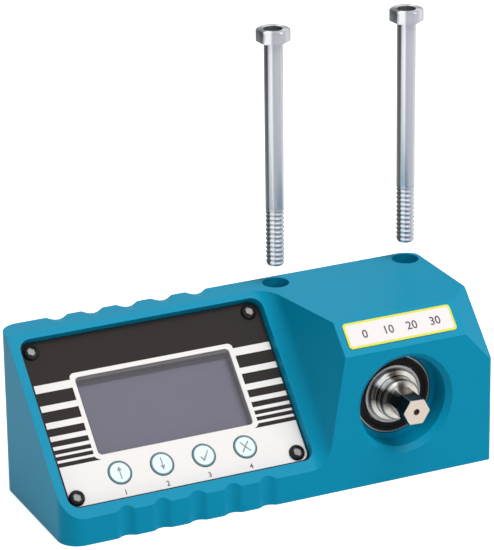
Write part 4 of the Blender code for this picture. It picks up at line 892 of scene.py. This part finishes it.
def thread_mesh(name, radius, bottom, top, pitch, depth):
    """A shank end with a helical thread, closed at both ends."""
    steps = 48
    levels = int((top - bottom) / pitch * 12)
    surface = bmesh.new()
    rings = []
    for k in range(levels + 1):
        z = bottom + (top - bottom) * k / levels
        fade = min(1.0, (top - z) / pitch, (z - bottom) / pitch * 2)
        ring = []
        for i in range(steps):
            a = 2 * math.pi * i / steps
            phase = (z / pitch + i / steps) % 1.0
            r = radius - depth * fade * (0.5 - 0.5 * math.cos(2 * math.pi * phase)) ** 0.8
            tip = max(0.0, 0.8 - (z - bottom))
            r = min(r, radius - tip * 0.8)
            ring.append(surface.verts.new((r * math.cos(a) * MM, r * math.sin(a) * MM, z * MM)))
        rings.append(ring)
    for low, high in zip(rings, rings[1:]):
        for i in range(steps):
            j = (i + 1) % steps
            surface.faces.new((low[i], low[j], high[j], high[i]))
    surface.faces.new(list(reversed(rings[0])))
    surface.faces.new(rings[-1])
    mesh = bpy.data.meshes.new(name)
    surface.to_mesh(mesh)
    surface.free()
    return mesh


def make_bolts():
    """Zinc-plated hexagon-head bolts with a dished head and a threaded end."""
    seat, top, tip = 180.7, 186.0, 80.7
    crown = [(0, seat - 1), (7.3, seat - 1), (7.3, top - 0.55), (6.95, top - 0.12), (6.7, top), (4.25, top),
             (4.1, top - 0.15), (3.9, top - 1.5), (0, top - 1.5)]
    for name, x in zip(("mounting_bolt_left", "mounting_bolt_right"), BOLT_X):
        where = Matrix.Translation((x * MM, BOLT_Y * MM, 0))
        # Head, shank and thread take the zinc's painted reflections.
        head = boolean(placed("head", prism("head", 6, 13.0, seat, top, math.radians(95.2))),
                       [placed("crown", revolve("crown", crown, 128))], "INTERSECT")
        piece(f"{name}_head", rounded_edges(head, 0.18, 2), name, ZINC, where, (name,), 25)
        # Painted shade: the dish is coloured dark inside.
        dish = revolve(f"{name}_dish", [(0, top - 1.6), (3.9, top - 1.6), (4.13, top - 0.1),
                                        (3.9, top - 0.1), (3.5, top - 1.4), (0, top - 1.4)])
        piece(f"{name}_dish", dish, name, ZINC_DISH_PAINTED_SHADE, where)
        shank = revolve(f"{name}_shank", [(0, seat + 1), (4.0, seat + 1), (4.0, tip + 26),
                                          (3.7, tip + 25.4), (0, tip + 25.4)])
        piece(f"{name}_shank", shank, name, ZINC, where)
        thread = thread_mesh(f"{name}_thread", 4.0, tip, tip + 25.6, 2.03, 0.5)
        piece(f"{name}_thread", thread, name, ZINC, where, angle=60)


bpy.context.scene.view_settings.view_transform = "Standard"
add_stage()
dress_nodes()
make_housing()
make_panel()
make_keys()
make_panel_screws()
make_label()
make_bearing()
make_drive()
make_bolts()
